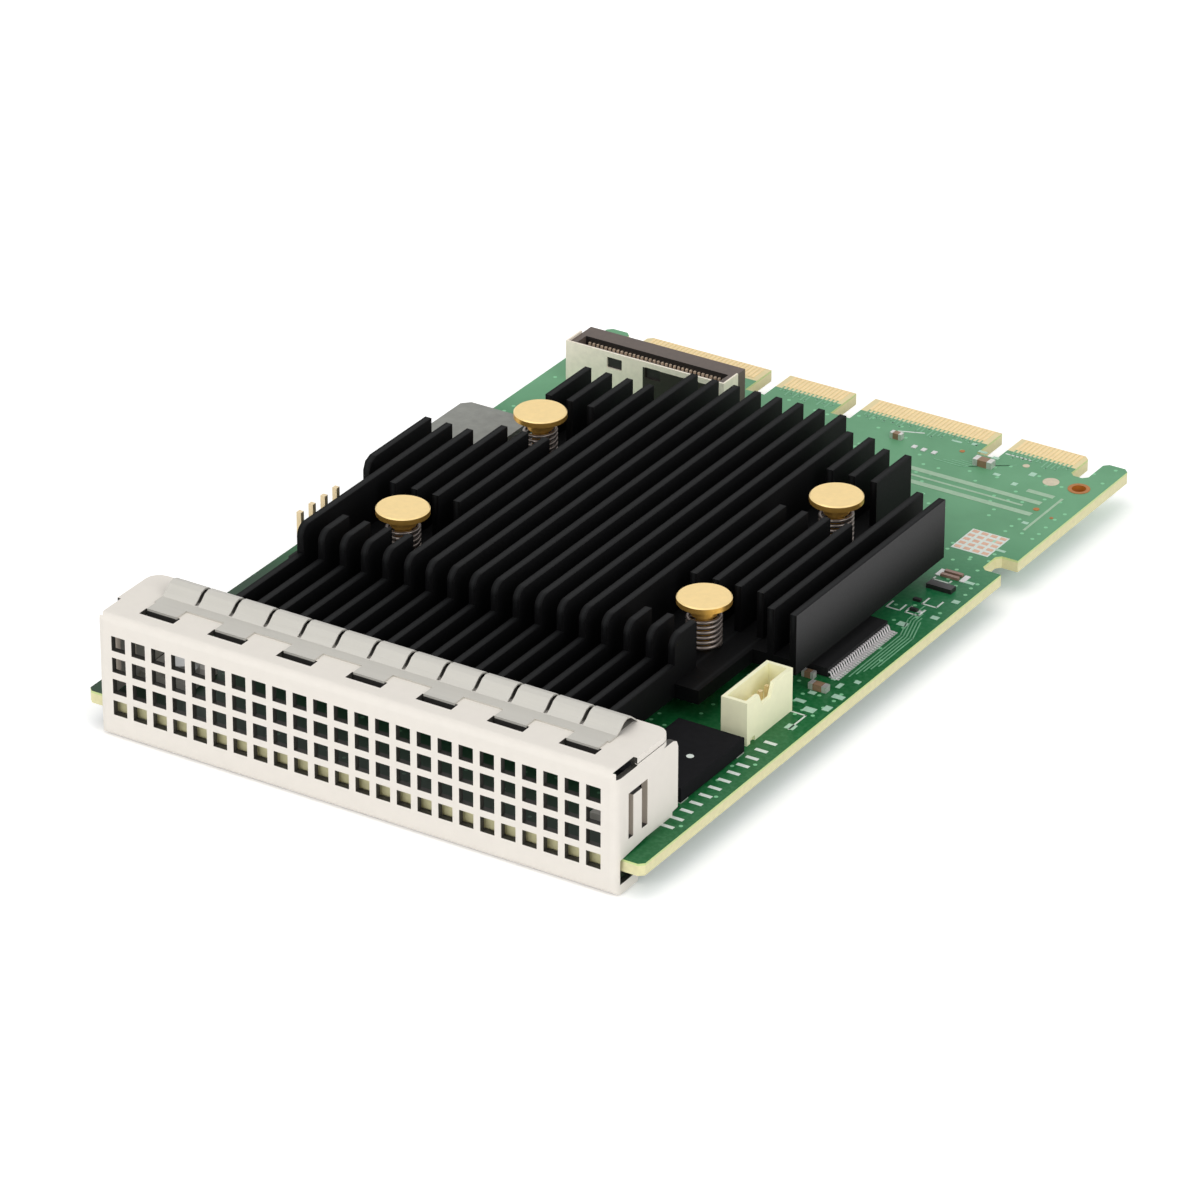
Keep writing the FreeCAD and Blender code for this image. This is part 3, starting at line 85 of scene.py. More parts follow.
# The faces of a box whose four lower corners come before its four upper ones.
BOX_FACES = ((3, 2, 1, 0), (4, 5, 6, 7), (0, 1, 5, 4), (1, 2, 6, 5), (2, 3, 7, 6), (3, 0, 4, 7))
Colour = tuple[float, float, float]
Point = tuple[float, float, float]
Patch = tuple[float, float, float, float]
Pair = tuple[float, float]
Socket = bpy.types.NodeSocket


def srgb(red: float, green: float, blue: float) -> Colour:
    """Return a linear colour from 0-255 display values.

    Args:
        red: display red.
        green: display green.
        blue: display blue.

    Returns:
        The linear colour that renders as the display colour under plain light.
    """

    def one(value: float) -> float:
        """Return one channel in linear light."""
        share = value / 255.0
        return share / 12.92 if share <= 0.04045 else ((share + 0.055) / 1.055) ** 2.4

    return one(red), one(green), one(blue)


@dataclass
class Card:
    """Places on the board, in millimetres from the middle and from the front edge."""

    front_y: float = -56.85
    top_z: float = 4.4

    def y(self, value: float) -> float:
        """Return the frame's y of a distance from the board's front edge."""
        return value + self.front_y

    def z(self, value: float) -> float:
        """Return the frame's z of a height above the board."""
        return value + self.top_z


CARD = Card()


class Texture(Enum):
    """Kinds of fine surface texture that a finish can have."""

    GRAIN = "grain"
    BRUSHED = "brushed"
    CAST = "cast"


STRETCH: dict[Texture, Point] = {
    Texture.GRAIN: (1.0, 1.0, 1.0),
    Texture.BRUSHED: (0.06, 1.0, 1.0),
    Texture.CAST: (0.5, 0.5, 0.5),
}


@dataclass(frozen=True)
class Finish:
    """One procedural surface finish."""

    name: str
    colour: Colour
    roughness: float
    metallic: float = 0.0
    texture: Texture = Texture.GRAIN
    scale: float = 900.0
    mottle: float = 0.08
    relief: float = 0.05
    specular: float = 0.5

    def build(self) -> bpy.types.Material:
        """Return the material, made once and then reused.

        Returns:
            A node material with mottled colour, uneven roughness and fine relief.
        """
        known = bpy.data.materials.get(self.name)
        if known is not None:
            return known
        material = bpy.data.materials.new(self.name)
        material.use_nodes = True
        graph = Graph(material.node_tree)
        shader = graph.shader
        shader.inputs["Metallic"].default_value = self.metallic
        shader.inputs["Specular IOR Level"].default_value = self.specular
        noise = graph.noise(graph.place(STRETCH[self.texture]), self.scale, FINE_DETAIL)
        graph.link(self.tint(graph, noise), shader.inputs["Base Color"])
        least = max(LEAST_ROUGHNESS, self.roughness - UNEVEN)
        most = min(1.0, self.roughness + UNEVEN)
        graph.link(graph.spread(noise, least, most), shader.inputs["Roughness"])
        graph.bump(self.grain(graph, noise), self.relief)
        return material

    def tint(self, graph: Graph, noise: Socket) -> Socket:
        """Return the colour over the surface.

        Args:
            graph: the node tree of the material.
            noise: the fine noise of the finish.

        Returns:
            A colour that wanders a little around the finish's own.
        """
        low = tuple(c * (1.0 - self.mottle) for c in self.colour)
        high = tuple(min(1.0, c * (1.0 + self.mottle)) for c in self.colour)
        return graph.ramp(noise, low, high)

    def grain(self, graph: Graph, noise: Socket) -> Socket:
        """Return the height of the fine relief."""
        return noise


@dataclass(frozen=True)
class FoldedSheet(Finish):
    """Plated sheet with painted shade on the inside of its folds, on its cut walls and under the spring
    arches.

    Lengths are in millimetres. The outer side counts as skin deep, and cut walls as thick deep. A face
    looks outward when it turns by more than tilt. The flange top under the spring arches carries a painted
    shadow.
    """

    # Painted shade inside the folds, on cut walls and on the front walls of the side flanges.
    inside: Colour = (0.2, 0.2, 0.2)
    cut: Colour = (0.04, 0.04, 0.04)
    side_cut_shade: Colour = (0.3, 0.3, 0.3)
    # Painted shadow on the flange top under the spring arches.
    arch_shadow: Colour = (0.2, 0.2, 0.2)
    side_shade_below: float = 12.5
    skin: float = 1.0
    thick: float = 0.85
    tilt: float = 0.3
    level: float = 0.9
    arch_y: Pair = (6.9, 9.9)
    arch_half: float = 30.6

    def tint(self, graph: Graph, noise: Socket) -> Socket:
        """Return the sheet's own colour outside, and painted shade inside, on cut walls and under the
        arches.

        Args:
            graph: the node tree of the material.
            noise: the fine noise of the finish.

        Returns:
            The colour by place and direction.
        """
        x, y, z = graph.axes(graph.place())
        nx, ny, nz = graph.facing()
        low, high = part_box("faceplate")
        skin, thick = self.skin * MM, self.thick * MM
        reach = graph.math("ABSOLUTE", x)

        def along(part: Socket) -> Socket:
            """Return 1 where the surface faces across a direction."""
            return graph.under(graph.math("ABSOLUTE", part), SIDE_ON)

        outward = graph.over(graph.math("MULTIPLY", x, nx), self.tilt * (high.x - skin))
        outer = graph.either(
            graph.both(graph.under(ny, -self.tilt), graph.under(y, low.y + skin)),
            graph.both(graph.over(nz, self.tilt), graph.over(z, high.z - skin)),
            graph.both(graph.under(nz, -self.tilt), graph.under(z, low.z + skin)),
            graph.both(outward, graph.over(reach, high.x - skin)),
        )
        # Painted shade: cut walls and the front walls of the side flanges are darkened as if in shade.
        walls = graph.either(
            graph.both(graph.under(y, low.y + thick), along(ny)),
            graph.both(graph.over(z, high.z - thick), along(nz)),
            graph.both(graph.over(reach, high.x - thick), along(nx)),
        )
        walls = graph.both(walls, graph.under(ny, SIDE_ON))
        side_walls = graph.both(
            graph.over(reach, high.x - thick),
            graph.under(ny, -SIDE_ON),
            graph.under(z, self.side_shade_below * MM),
        )
        # Painted shade: the inside of the folds and the walls take darkened copies of the sheet's colour.
        shaded_inner = graph.blend(side_walls, graph.blend(walls, self.inside, self.cut), self.side_cut_shade)
        shown = graph.blend(outer, shaded_inner, super().tint(graph, noise))
        # Painted shadow on the flange top under the arches of the spring strip.
        arch_shadow_mask = graph.both(
            graph.over(y, CARD.y(self.arch_y[0]) * MM),
            graph.under(y, CARD.y(self.arch_y[1]) * MM),
            graph.under(reach, self.arch_half * MM),
            graph.over(nz, self.level),
        )
        return graph.blend(arch_shadow_mask, shown, self.arch_shadow)


@dataclass(frozen=True)
class DarkAnodised(Finish):
    """Black anodised aluminium, with painted shade, painted highlights and painted light on the fins."""

    # Painted highlight along the fin edges.
    ridge_highlight: Colour = (0.02, 0.02, 0.02)
    # Painted shade towards the foot of the fins.
    root_shade: Colour = (0.002, 0.002, 0.002)
    # Painted light on the outer right wall.
    outer: Colour = (0.02, 0.02, 0.02)
    flank: float = 0.05
    fin_pitch: float = 3.04
    edge_on: float = 0.6
    ridge: Pair = (0.34, 0.04)
    fade: Pair = (3.2, 0.9)

    def tint(self, graph: Graph, noise: Socket) -> Socket:
        """Return painted shade root to tip, painted light on the outer wall and a thin painted highlight
        per fin edge.

        Args:
            graph: the node tree of the material.
            noise: the fine noise of the finish.

        Returns:
            The colour by place and direction.
        """
        low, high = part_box("heatsink")
        x, _, z = graph.axes(graph.place())
        nx, _, nz = graph.facing()
        # Painted light: the outer right wall is lighter than the other sides.
        upper = graph.blend(
            graph.over(x, high.x - self.flank * MM), super().tint(graph, noise), self.outer
        )
        # Painted shade: the sides darken from the tip down to the foot of the fins.
        sides = graph.blend(graph.step(z, low.z, high.z), self.root_shade, upper)
        # Painted highlight: a thin pale line along each fin's edge, near the top.
        half = self.fin_pitch * MM / 2
        off = graph.math("PINGPONG", graph.math("SUBTRACT", x, half), half)
        line = graph.step(off, self.ridge[0] * MM, self.ridge[1] * MM)
        near_top = graph.step(z, high.z - self.fade[0] * MM, high.z - self.fade[1] * MM)
        share = graph.both(line, graph.either(graph.over(nz, SIDE_ON), near_top))
        edges = graph.blend(share, self.root_shade, self.ridge_highlight)
        edge_on = graph.under(graph.math("ABSOLUTE", nx), self.edge_on)
        return graph.blend(edge_on, sides, edges)


@dataclass(frozen=True)
class TwoWay(Finish):
    """A finish in its own colour on most faces, with painted shade on the walls that face the front."""

    # Painted shade on the walls that face the front.
    front_shade: Colour = (0.01, 0.01, 0.01)
    ahead: float = 0.6

    def tint(self, graph: Graph, noise: Socket) -> Socket:
        """Return painted shade where the surface faces the front, and the main colour elsewhere."""
        ahead = graph.under(graph.facing()[1], -self.ahead)
        return graph.blend(ahead, super().tint(graph, noise), self.front_shade)


@dataclass(frozen=True)
class RimmedShell(Finish):
    """A plated shell that is darker below its rim, over one stretch."""

    stretch_dark: Colour = (0.05, 0.05, 0.05)
    stretch_x: Pair = (-23.1, -12.4)
    rim: float = 0.75

    def tint(self, graph: Graph, noise: Socket) -> Socket:
        """Return the darker colour on that stretch, and the bright one elsewhere.

        Args:
            graph: the node tree of the material.
            noise: the fine noise of the finish.

        Returns:
            The colour by place.
        """
        x, _, z = graph.axes(graph.place())
        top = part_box("cable_connector_shell")[1].z
        share = graph.both(
            graph.under(z, top - self.rim * MM),
            graph.over(x, self.stretch_x[0] * MM),
            graph.under(x, self.stretch_x[1] * MM),
        )
        return graph.blend(share, super().tint(graph, noise), self.stretch_dark)


@dataclass(frozen=True)
class HookedSheet(Finish):
    """Spring sheet, plain on the flange, with painted shade on its hooks in the slots and its undersides.
    """

    # Painted shade on the hooks in the slots and on the undersides of the arches.
    hook_shade: Colour = (0.02, 0.02, 0.02)
    sunk: float = 0.1
    tilt: float = 0.3

    def tint(self, graph: Graph, noise: Socket) -> Socket:
        """Return painted shade below the faceplate's top and on undersides, and the main colour elsewhere.

        Args:
            graph: the node tree of the material.
            noise: the fine noise of the finish.

        Returns:
            The colour by place and direction.
        """
        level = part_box("faceplate")[1].z - self.sunk * MM
        # Painted shade below the faceplate's top and on faces that look down.
        deep = graph.under(graph.axes(graph.place())[2], level)
        deep = graph.either(deep, graph.under(graph.facing()[2], -self.tilt))
        return graph.blend(deep, super().tint(graph, noise), self.hook_shade)


@dataclass(frozen=True)
class TurnedBrass(Finish):
    """Brass with fine turning marks around the axis of one pin."""

    centre: Pair = (0.0, 0.0)
    mark_pitch: float = 0.22
    mark_share: float = 0.35
    # Painted shade: a deeper copy of the brass on the faces that do not look up.
    shaded_brass: Colour = (0.8, 0.45, 0.1)
    up: float = 0.4

    def tint(self, graph: Graph, noise: Socket) -> Socket:
        """Return painted light: pale brass on the faces that look up and a deeper shaded copy on the rest.
        """
        # Painted light and shade: faces that look up are pale, the rest deeper.
        up = graph.over(graph.facing()[2], self.up)
        return graph.blend(up, self.shaded_brass, super().tint(graph, noise))

    def grain(self, graph: Graph, noise: Socket) -> Socket:
        """Return rings around the pin's axis, broken up by the noise.

        Args:
            graph: the node tree of the material.
            noise: the fine noise of the finish.

        Returns:
            The height of the relief.
        """
        x, y, _ = graph.axes(graph.place())
        across = graph.math("SUBTRACT", x, self.centre[0])
        along = graph.math("SUBTRACT", y, self.centre[1])
        squares = graph.math("ADD", graph.math("POWER", across, 2.0), graph.math("POWER", along, 2.0))
        reach = graph.math("SQRT", squares)
        rings = graph.math("SINE", graph.math("MULTIPLY", reach, 2 * math.pi / (self.mark_pitch * MM)))
        return graph.math("ADD", graph.math("MULTIPLY", rings, self.mark_share), noise)


@dataclass(frozen=True)
class SplitCeramic(Finish):
    """Small chips: black near the front, brown behind a line across the card."""

    rear_colour: Colour = (0.3, 0.2, 0.15)
    line: float = 0.0

    def tint(self, graph: Graph, noise: Socket) -> Socket:
        """Return the black or the brown by the place on the card."""
        behind = graph.over(graph.axes(graph.place())[1], self.line)
        return graph.blend(behind, super().tint(graph, noise), self.rear_colour)


class Graph:
    """Short calls for building a node tree."""

    def __init__(self, tree: bpy.types.NodeTree) -> None:
        """Keep the tree and its main shader.

        Args:
            tree: the node tree of a new material or world.
        """
        self.tree = tree
        self.shader = tree.nodes.get("Principled BSDF") or tree.nodes["Background"]

    def node(self, kind: str, **settings: object) -> bpy.types.Node:
        """Add a node and set its properties.

        Args:
            kind: the node's type name.
            **settings: properties of the node.

        Returns:
            The new node.
        """
        made = self.tree.nodes.new(kind)
        for key, value in settings.items():
            setattr(made, key, value)
        return made

    def link(self, source: Socket, target: Socket) -> None:
        """Join an output to an input."""
        self.tree.links.new(source, target)

    def place(self, stretch: Point = (1.0, 1.0, 1.0)) -> Socket:
        """Return object coordinates.

        Args:
            stretch: the scale along the axes.

        Returns:
            The coordinates as a vector.
        """
        coords = self.node("ShaderNodeTexCoord")
        mapping = self.node("ShaderNodeMapping")
        mapping.inputs["Scale"].default_value = stretch
        self.link(coords.outputs["Object"], mapping.inputs["Vector"])
        return mapping.outputs["Vector"]

    def axes(self, vector: Socket) -> tuple[Socket, ...]:
        """Return the parts of a vector.

        Args:
            vector: the vector.

        Returns:
            Its three parts.
        """
        made = self.node("ShaderNodeSeparateXYZ")
        self.link(vector, made.inputs["Vector"])
        return tuple(made.outputs)

    def facing(self) -> tuple[Socket, ...]:
        """Return the three parts of the direction that the surface faces."""
        return self.axes(self.node("ShaderNodeNewGeometry").outputs["True Normal"])

    def over(self, value: Socket, limit: float) -> Socket:
        """Return 1 where a value is over a limit."""
        return self.math("GREATER_THAN", value, limit)

    def under(self, value: Socket, limit: float) -> Socket:
        """Return 1 where a value is under a limit."""
        return self.math("LESS_THAN", value, limit)

    def both(self, *shares: Socket) -> Socket:
        """Return the product of masks or shares."""
        return reduce(lambda first, second: self.math("MULTIPLY", first, second), shares)

    def either(self, *shares: Socket) -> Socket:
        """Return the largest of masks or shares."""
        return reduce(lambda first, second: self.math("MAXIMUM", first, second), shares)

    def seen(self) -> Socket:
        """Return 1 for what the camera sees, mirrored and through things too, and 0 for plain light."""
        path = self.node("ShaderNodeLightPath").outputs
        return self.either(path["Is Camera Ray"], path["Is Glossy Ray"], path["Is Transmission Ray"])

    def dots(
        self, place: Socket, scale: float, radius: float, share: float, loose: float = 0.75
    ) -> Socket:
        """Return 1 inside scattered round dots and 0 elsewhere.

        Args:
            place: the coordinates.
            scale: cells a metre.
            radius: dot radius, as a part of a cell.
            share: the part of the cells that has a dot.
            loose: how far the dots leave the middle of their cells.

        Returns:
            The mask of the dots.
        """
        made = self.node("ShaderNodeTexVoronoi", voronoi_dimensions="2D")
        made.inputs["Scale"].default_value = scale
        made.inputs["Randomness"].default_value = loose
        self.link(place, made.inputs["Vector"])
        near = self.under(made.outputs["Distance"], radius)
        return self.both(near, self.under(self.axes(made.outputs["Color"])[0], share))

    def noise(self, place: Socket, scale: float, detail: float = 3.0) -> Socket:
        """Return a noise value.

        Args:
            place: the coordinates.
            scale: waves a metre.
            detail: how many finer waves are added.

        Returns:
            The value, around a half.
        """
        made = self.node("ShaderNodeTexNoise")
        made.inputs["Scale"].default_value = scale
        made.inputs["Detail"].default_value = detail
        self.link(place, made.inputs["Vector"])
        return made.outputs["Fac"]

    def ramp(
        self, value: Socket, low: Colour, high: Colour, start: float = 0.3, stop: float = 0.7
    ) -> Socket:
        """Return a colour that follows a value.

        Args:
            value: the value.
            low: the colour up to the start.
            high: the colour from the stop on.
            start: where the colour starts to change.
            stop: where it is reached.

        Returns:
            The colour.
        """
        made = self.node("ShaderNodeValToRGB")
        first, last = made.color_ramp.elements
        first.position, last.position = start, stop
        first.color, last.color = (*low, 1.0), (*high, 1.0)
        self.link(value, made.inputs["Fac"])
        return made.outputs["Color"]

    def spread(self, value: Socket, low: float, high: float) -> Socket:
        """Return a value mapped from 0-1 to a range.

        Args:
            value: the value.
            low: the result at 0.
            high: the result at 1.

        Returns:
            The mapped value.
        """
        made = self.node("ShaderNodeMapRange")
        made.inputs["To Min"].default_value = low
        made.inputs["To Max"].default_value = high
        self.link(value, made.inputs["Value"])
        return made.outputs["Result"]

    def step(self, value: Socket, start: float, stop: float) -> Socket:
        """Return a smooth step from 0 to 1.

        Args:
            value: the value.
            start: where the step is 0.
            stop: where it is 1, above or below the start.

        Returns:
            The height of the step.
        """
        made = self.node("ShaderNodeMapRange", interpolation_type="SMOOTHSTEP")
        made.inputs["From Min"].default_value = start
        made.inputs["From Max"].default_value = stop
        self.link(value, made.inputs["Value"])
        return made.outputs["Result"]

    def math(self, kind: str, first: object, second: object = 0.0) -> Socket:
        """Return a sum, product or comparison.

        Args:
            kind: the name of the operation.
            first: a number or socket.
            second: a number or socket.

        Returns:
            The result.
        """
        made = self.node("ShaderNodeMath", operation=kind)
        for index, value in enumerate((first, second)):
            if isinstance(value, (int, float)):
                made.inputs[index].default_value = value
            else:
                self.link(value, made.inputs[index])
        return made.outputs["Value"]

    def blend(self, share: Socket, first: object, second: object) -> Socket:
        """Return a colour between two.

        Args:
            share: the part of the second.
            first: a colour or socket.
            second: a colour or socket.

        Returns:
            The mixed colour.
        """
        made = self.node("ShaderNodeMix", data_type="RGBA")
        self.link(share, made.inputs[0])
        for index, value in ((6, first), (7, second)):
            if isinstance(value, tuple):
                made.inputs[index].default_value = (*value, 1.0)
            else:
                self.link(value, made.inputs[index])
        return made.outputs[2]

    def bump(self, height: Socket, strength: float, depth: float = 0.02 * MM) -> None:
        """Give the shader fine relief.

        Args:
            height: the height of the relief, around 0-1.
            strength: how much of it shows.
            depth: what a height of 1 stands for, in metres.
        """
        made = self.node("ShaderNodeBump")
        made.inputs["Strength"].default_value = min(1.0, strength * BUMP_GAIN)
        made.inputs["Distance"].default_value = depth
        self.link(height, made.inputs["Height"])
        self.link(made.outputs["Normal"], self.shader.inputs["Normal"])


SHEET = FoldedSheet(
    "faceplate_sheet", srgb(233, 227, 218), 0.5, scale=700.0, mottle=0.014, relief=0.02, specular=0.35,
    # Painted shade inside the folds, on cut walls and on side-flange walls, and a painted shadow under the
    # arches.
    inside=srgb(186, 183, 175),
    cut=srgb(62, 60, 56),
    side_cut_shade=srgb(188, 176, 162),
    arch_shadow=srgb(150, 146, 138),
)
SPRING_SHEET = HookedSheet(
    "brushed_spring_sheet", srgb(196, 193, 185), 0.44, metallic=0.25, texture=Texture.BRUSHED,
    scale=1400.0, mottle=0.03,
    # Painted shade on the hooks and undersides.
    hook_shade=srgb(40, 38, 36),
)
BLACK_ANODISED = DarkAnodised(
    "black_anodised", srgb(15, 15, 16), 0.62, scale=2600.0, mottle=0.12, relief=0.03, specular=0.12,
    # Painted highlight on the fin edges, painted shade at their foot and painted light on the outer wall.
    ridge_highlight=srgb(21, 22, 23), root_shade=srgb(3, 3, 4), outer=srgb(64, 63, 64),
)
# Pale brass on upward faces; the other faces take a deeper painted shade.
BRASS = TurnedBrass(
    "turned_brass", srgb(243, 214, 152), 0.34, metallic=0.82, scale=1500.0, mottle=0.03, relief=0.03
)
WIRE = Finish("bright_coil_wire", srgb(128, 118, 112), 0.3, metallic=0.7, scale=2000.0, mottle=0.05)
TIN = Finish("dull_tin", srgb(215, 214, 210), 0.35, metallic=0.5, scale=2200.0, mottle=0.08)
LEAD_TIN = Finish("lead_tin", srgb(226, 220, 222), 0.4, metallic=0.15, scale=2200.0, mottle=0.05)
CONTACT_GOLD = Finish("plated_gold", srgb(250, 222, 168), 0.38, metallic=0.35, scale=900.0, mottle=0.05)
PIN_GOLD = Finish("pin_gold", srgb(236, 214, 172), 0.3, metallic=0.5, scale=900.0, mottle=0.05)
CHIP_BLACK = Finish(
    "moulded_chip", srgb(30, 30, 31), 0.7, texture=Texture.CAST, scale=3200.0, mottle=0.12, specular=0.15
)
BLOCK_BLACK = Finish(
    "pressed_block", srgb(26, 26, 28), 0.8, texture=Texture.CAST, scale=2400.0, mottle=0.16, specular=0.06
)
COIL_GREY = Finish(
    "pressed_coil", srgb(143, 144, 138), 0.6, texture=Texture.CAST, scale=1800.0, mottle=0.1, specular=0.3
)
HOUSING = TwoWay(
    # Painted shade on the housing walls that face the front.
    "housing_brown_black", srgb(92, 80, 73), 0.55, scale=1500.0, mottle=0.12, front_shade=srgb(24, 20, 18)
)
SHELL = RimmedShell(
    "connector_shell", srgb(248, 238, 220), 0.42, metallic=0.12, scale=1200.0, mottle=0.05,
    stretch_dark=srgb(50, 44, 40),
)
BLADE_GOLD = Finish("blade_gold", srgb(246, 222, 196), 0.35, metallic=0.3, scale=900.0, mottle=0.06)
CREAM = Finish(
    "cream_header", srgb(250, 248, 212), 0.5, scale=900.0, mottle=0.02, relief=0.02, specular=0.35
)
SCREW = Finish("zinc_screw", srgb(190, 190, 188), 0.35, metallic=0.7, scale=1500.0, mottle=0.06)
CERAMIC = Finish("capacitor_ceramic", srgb(146, 116, 90), 0.5, scale=2000.0, mottle=0.12)
RESISTOR = SplitCeramic(
    "resistor_glaze", srgb(34, 32, 33), 0.4, scale=2500.0, mottle=0.1,
    rear_colour=srgb(150, 118, 104), line=CARD.y(76.0) * MM,
)
PAD = Finish("soft_pad", srgb(160, 165, 172), 0.8, scale=1200.0, mottle=0.06)
LAMINATE = Finish("substrate_laminate", srgb(52, 96, 62), 0.5, scale=1500.0, mottle=0.08)
SILK = Finish("silkscreen", srgb(226, 234, 226), 0.7, scale=3000.0, mottle=0.06, relief=0.02)
MINT = Finish("pale_green_marks", srgb(176, 214, 190), 0.6, scale=2600.0, mottle=0.1, relief=0.02)
BARE_COPPER = Finish("bare_copper", srgb(222, 178, 152), 0.45, metallic=0.2, scale=1600.0, mottle=0.1)
ROSE_PAD = Finish("rose_pad", srgb(214, 202, 176), 0.5, metallic=0.1, scale=1600.0, mottle=0.08)
DARK_COPPER = Finish("dark_copper", srgb(176, 112, 48), 0.4, metallic=0.4, scale=1600.0, mottle=0.12)
SOLDER = Finish("solder", srgb(222, 222, 220), 0.35, metallic=0.25, scale=2400.0, mottle=0.08)
TRACK = Finish("covered_track", srgb(160, 192, 162), 0.5, scale=1500.0, mottle=0.08, relief=0.02)
THIN_TRACK = Finish("thin_track", srgb(122, 178, 140), 0.5, scale=1500.0, mottle=0.08, relief=0.02)
PALE_MARKS: tuple[Patch, ...] = (
    (35.3, 36.5, 77.6, 78.2), (36.4, 37.3, 72.4, 73.2), (36.2, 37.2, 67.6, 68.4),
    (36.1, 37.6, 44.6, 45.5), (33.6, 34.9, 64.1, 65.1), (34.8, 36.3, 40.1, 41.2),
    (36.7, 37.6, 41.4, 42.6), (35.2, 36.4, 35.4, 36.6), (32.8, 34.2, 41.6, 42.3),
    (15.3, 16.7, 109.8, 110.2), (17.9, 18.6, 110.2, 110.8), (28.0, 28.8, 106.6, 107.6),
    (27.4, 28.1, 103.2, 104.0), (24.2, 25.1, 104.4, 105.0), (33.5, 34.3, 94.9, 95.5),
    (33.3, 34.2, 44.0, 44.7), (35.3, 35.9, 46.9, 48.1), (33.9, 34.5, 48.3, 49.2),
    (36.6, 37.3, 49.0, 49.7), (32.6, 33.6, 88.6, 89.2), (34.3, 35.6, 86.9, 87.4),
    (19.6, 20.8, 108.9, 109.4), (21.9, 22.8, 108.3, 108.9),
)
SOLDER_PADS: tuple[Patch, ...] = (
    (12.0, 12.6, 105.4, 106.2), (13.4, 14.0, 105.3, 106.1), (14.9, 15.5, 105.3, 106.1),
    (31.3, 31.9, 77.5, 79.2), (34.6, 35.3, 77.5, 79.2),
    (32.9, 33.3, 68.0, 68.5), (34.3, 34.7, 68.0, 68.5),
)


@dataclass
class Brush:
    """Collects simple solids into one mesh object."""

    name: str
    verts: list[Point] = field(default_factory=list)
    faces: list[tuple[int, ...]] = field(default_factory=list)
    sides: int = 20
    overlap: float = 0.4
    shortest: float = 1e-6

    def block(self, low: Sequence[float], high: Sequence[float]) -> None:
        """Add an upright box, in millimetres.

        Args:
            low: its lowest corner.
            high: its highest corner.
        """
        x0, y0, z0 = low
        x1, y1, z1 = high
        corners = ((x0, y0), (x1, y0), (x1, y1), (x0, y1))
        self.box([(x, y, z) for z in (z0, z1) for x, y in corners])

    def box(self, corners: Sequence[Point]) -> None:
        """Add the faces of a box.

        Args:
            corners: its four lower corners and then its four upper ones, in millimetres.
        """
        base = len(self.verts)
        self.verts += corners
        self.faces += [tuple(base + i for i in quad) for quad in BOX_FACES]

    def disc(self, x: float, y: float, low: float, high: float, radius: float) -> None:
        """Add an upright disc, in millimetres.

        Args:
            x: across the board.
            y: along the board.
            low: height of the underside.
            high: height of the top.
            radius: its radius.
        """
        base, count = len(self.verts), self.sides
        for z in (low, high):
            for i in range(count):
                turn = 2 * math.pi * i / count
                self.verts.append((x + radius * math.cos(turn), y + radius * math.sin(turn), z))
        for i in range(count):
            a, b = base + i, base + (i + 1) % count
            self.faces.append((a, b, b + count, a + count))
        self.faces.append(tuple(base + i for i in reversed(range(count))))
        self.faces.append(tuple(base + count + i for i in range(count)))

    def run(self, points: Sequence[Pair], low: float, high: float, width: float) -> None:
        """Add a flat track through points on the board, in millimetres.

        Args:
            points: the ends and bends of the track.
            low: height of the underside.
            high: height of the top.
            width: width of the track.
        """
        for (ax, ay), (bx, by) in zip(points, points[1:]):
            along = Vector((bx - ax, by - ay, 0.0))
            if along.length < self.shortest:
                continue
            along.normalize()
            side = Vector((-along.y, along.x, 0.0)) * width / 2
            reach = along * width * self.overlap
            start, stop = Vector((ax, ay, 0.0)) - reach, Vector((bx, by, 0.0)) + reach
            corners = (start - side, stop - side, stop + side, start + side)
            self.box([(corner.x, corner.y, z) for z in (low, high) for corner in corners])

    def finish(self, look: Finish) -> None:
        """Turn what was collected into a piece that rides on the card.

        Args:
            look: the finish of the piece.
        """
        mesh = bpy.data.meshes.new(self.name)
        mesh.from_pydata([tuple(c * MM for c in v) for v in self.verts], [], self.faces)
        mesh.update()
        made = bpy.data.objects.new(self.name, mesh)
        bpy.context.scene.collection.objects.link(made)
        mesh.materials.append(look.build())
        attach(made, "root")
        LOG.info("piece %s: %d faces", self.name, len(self.faces))


def dress(frame: dict, node: str, look: Finish | bpy.types.Material) -> None:
    """Give a CAD node a finish.

    Args:
        frame: the loaded frame.
        node: the node's name.
        look: its finish or material.
    """
    target = frame["nodes"][node]
    material = look.build() if isinstance(look, Finish) else look
    if not target.material_slots:
        target.data.materials.append(material)
    for place in target.material_slots:
        place.material = material


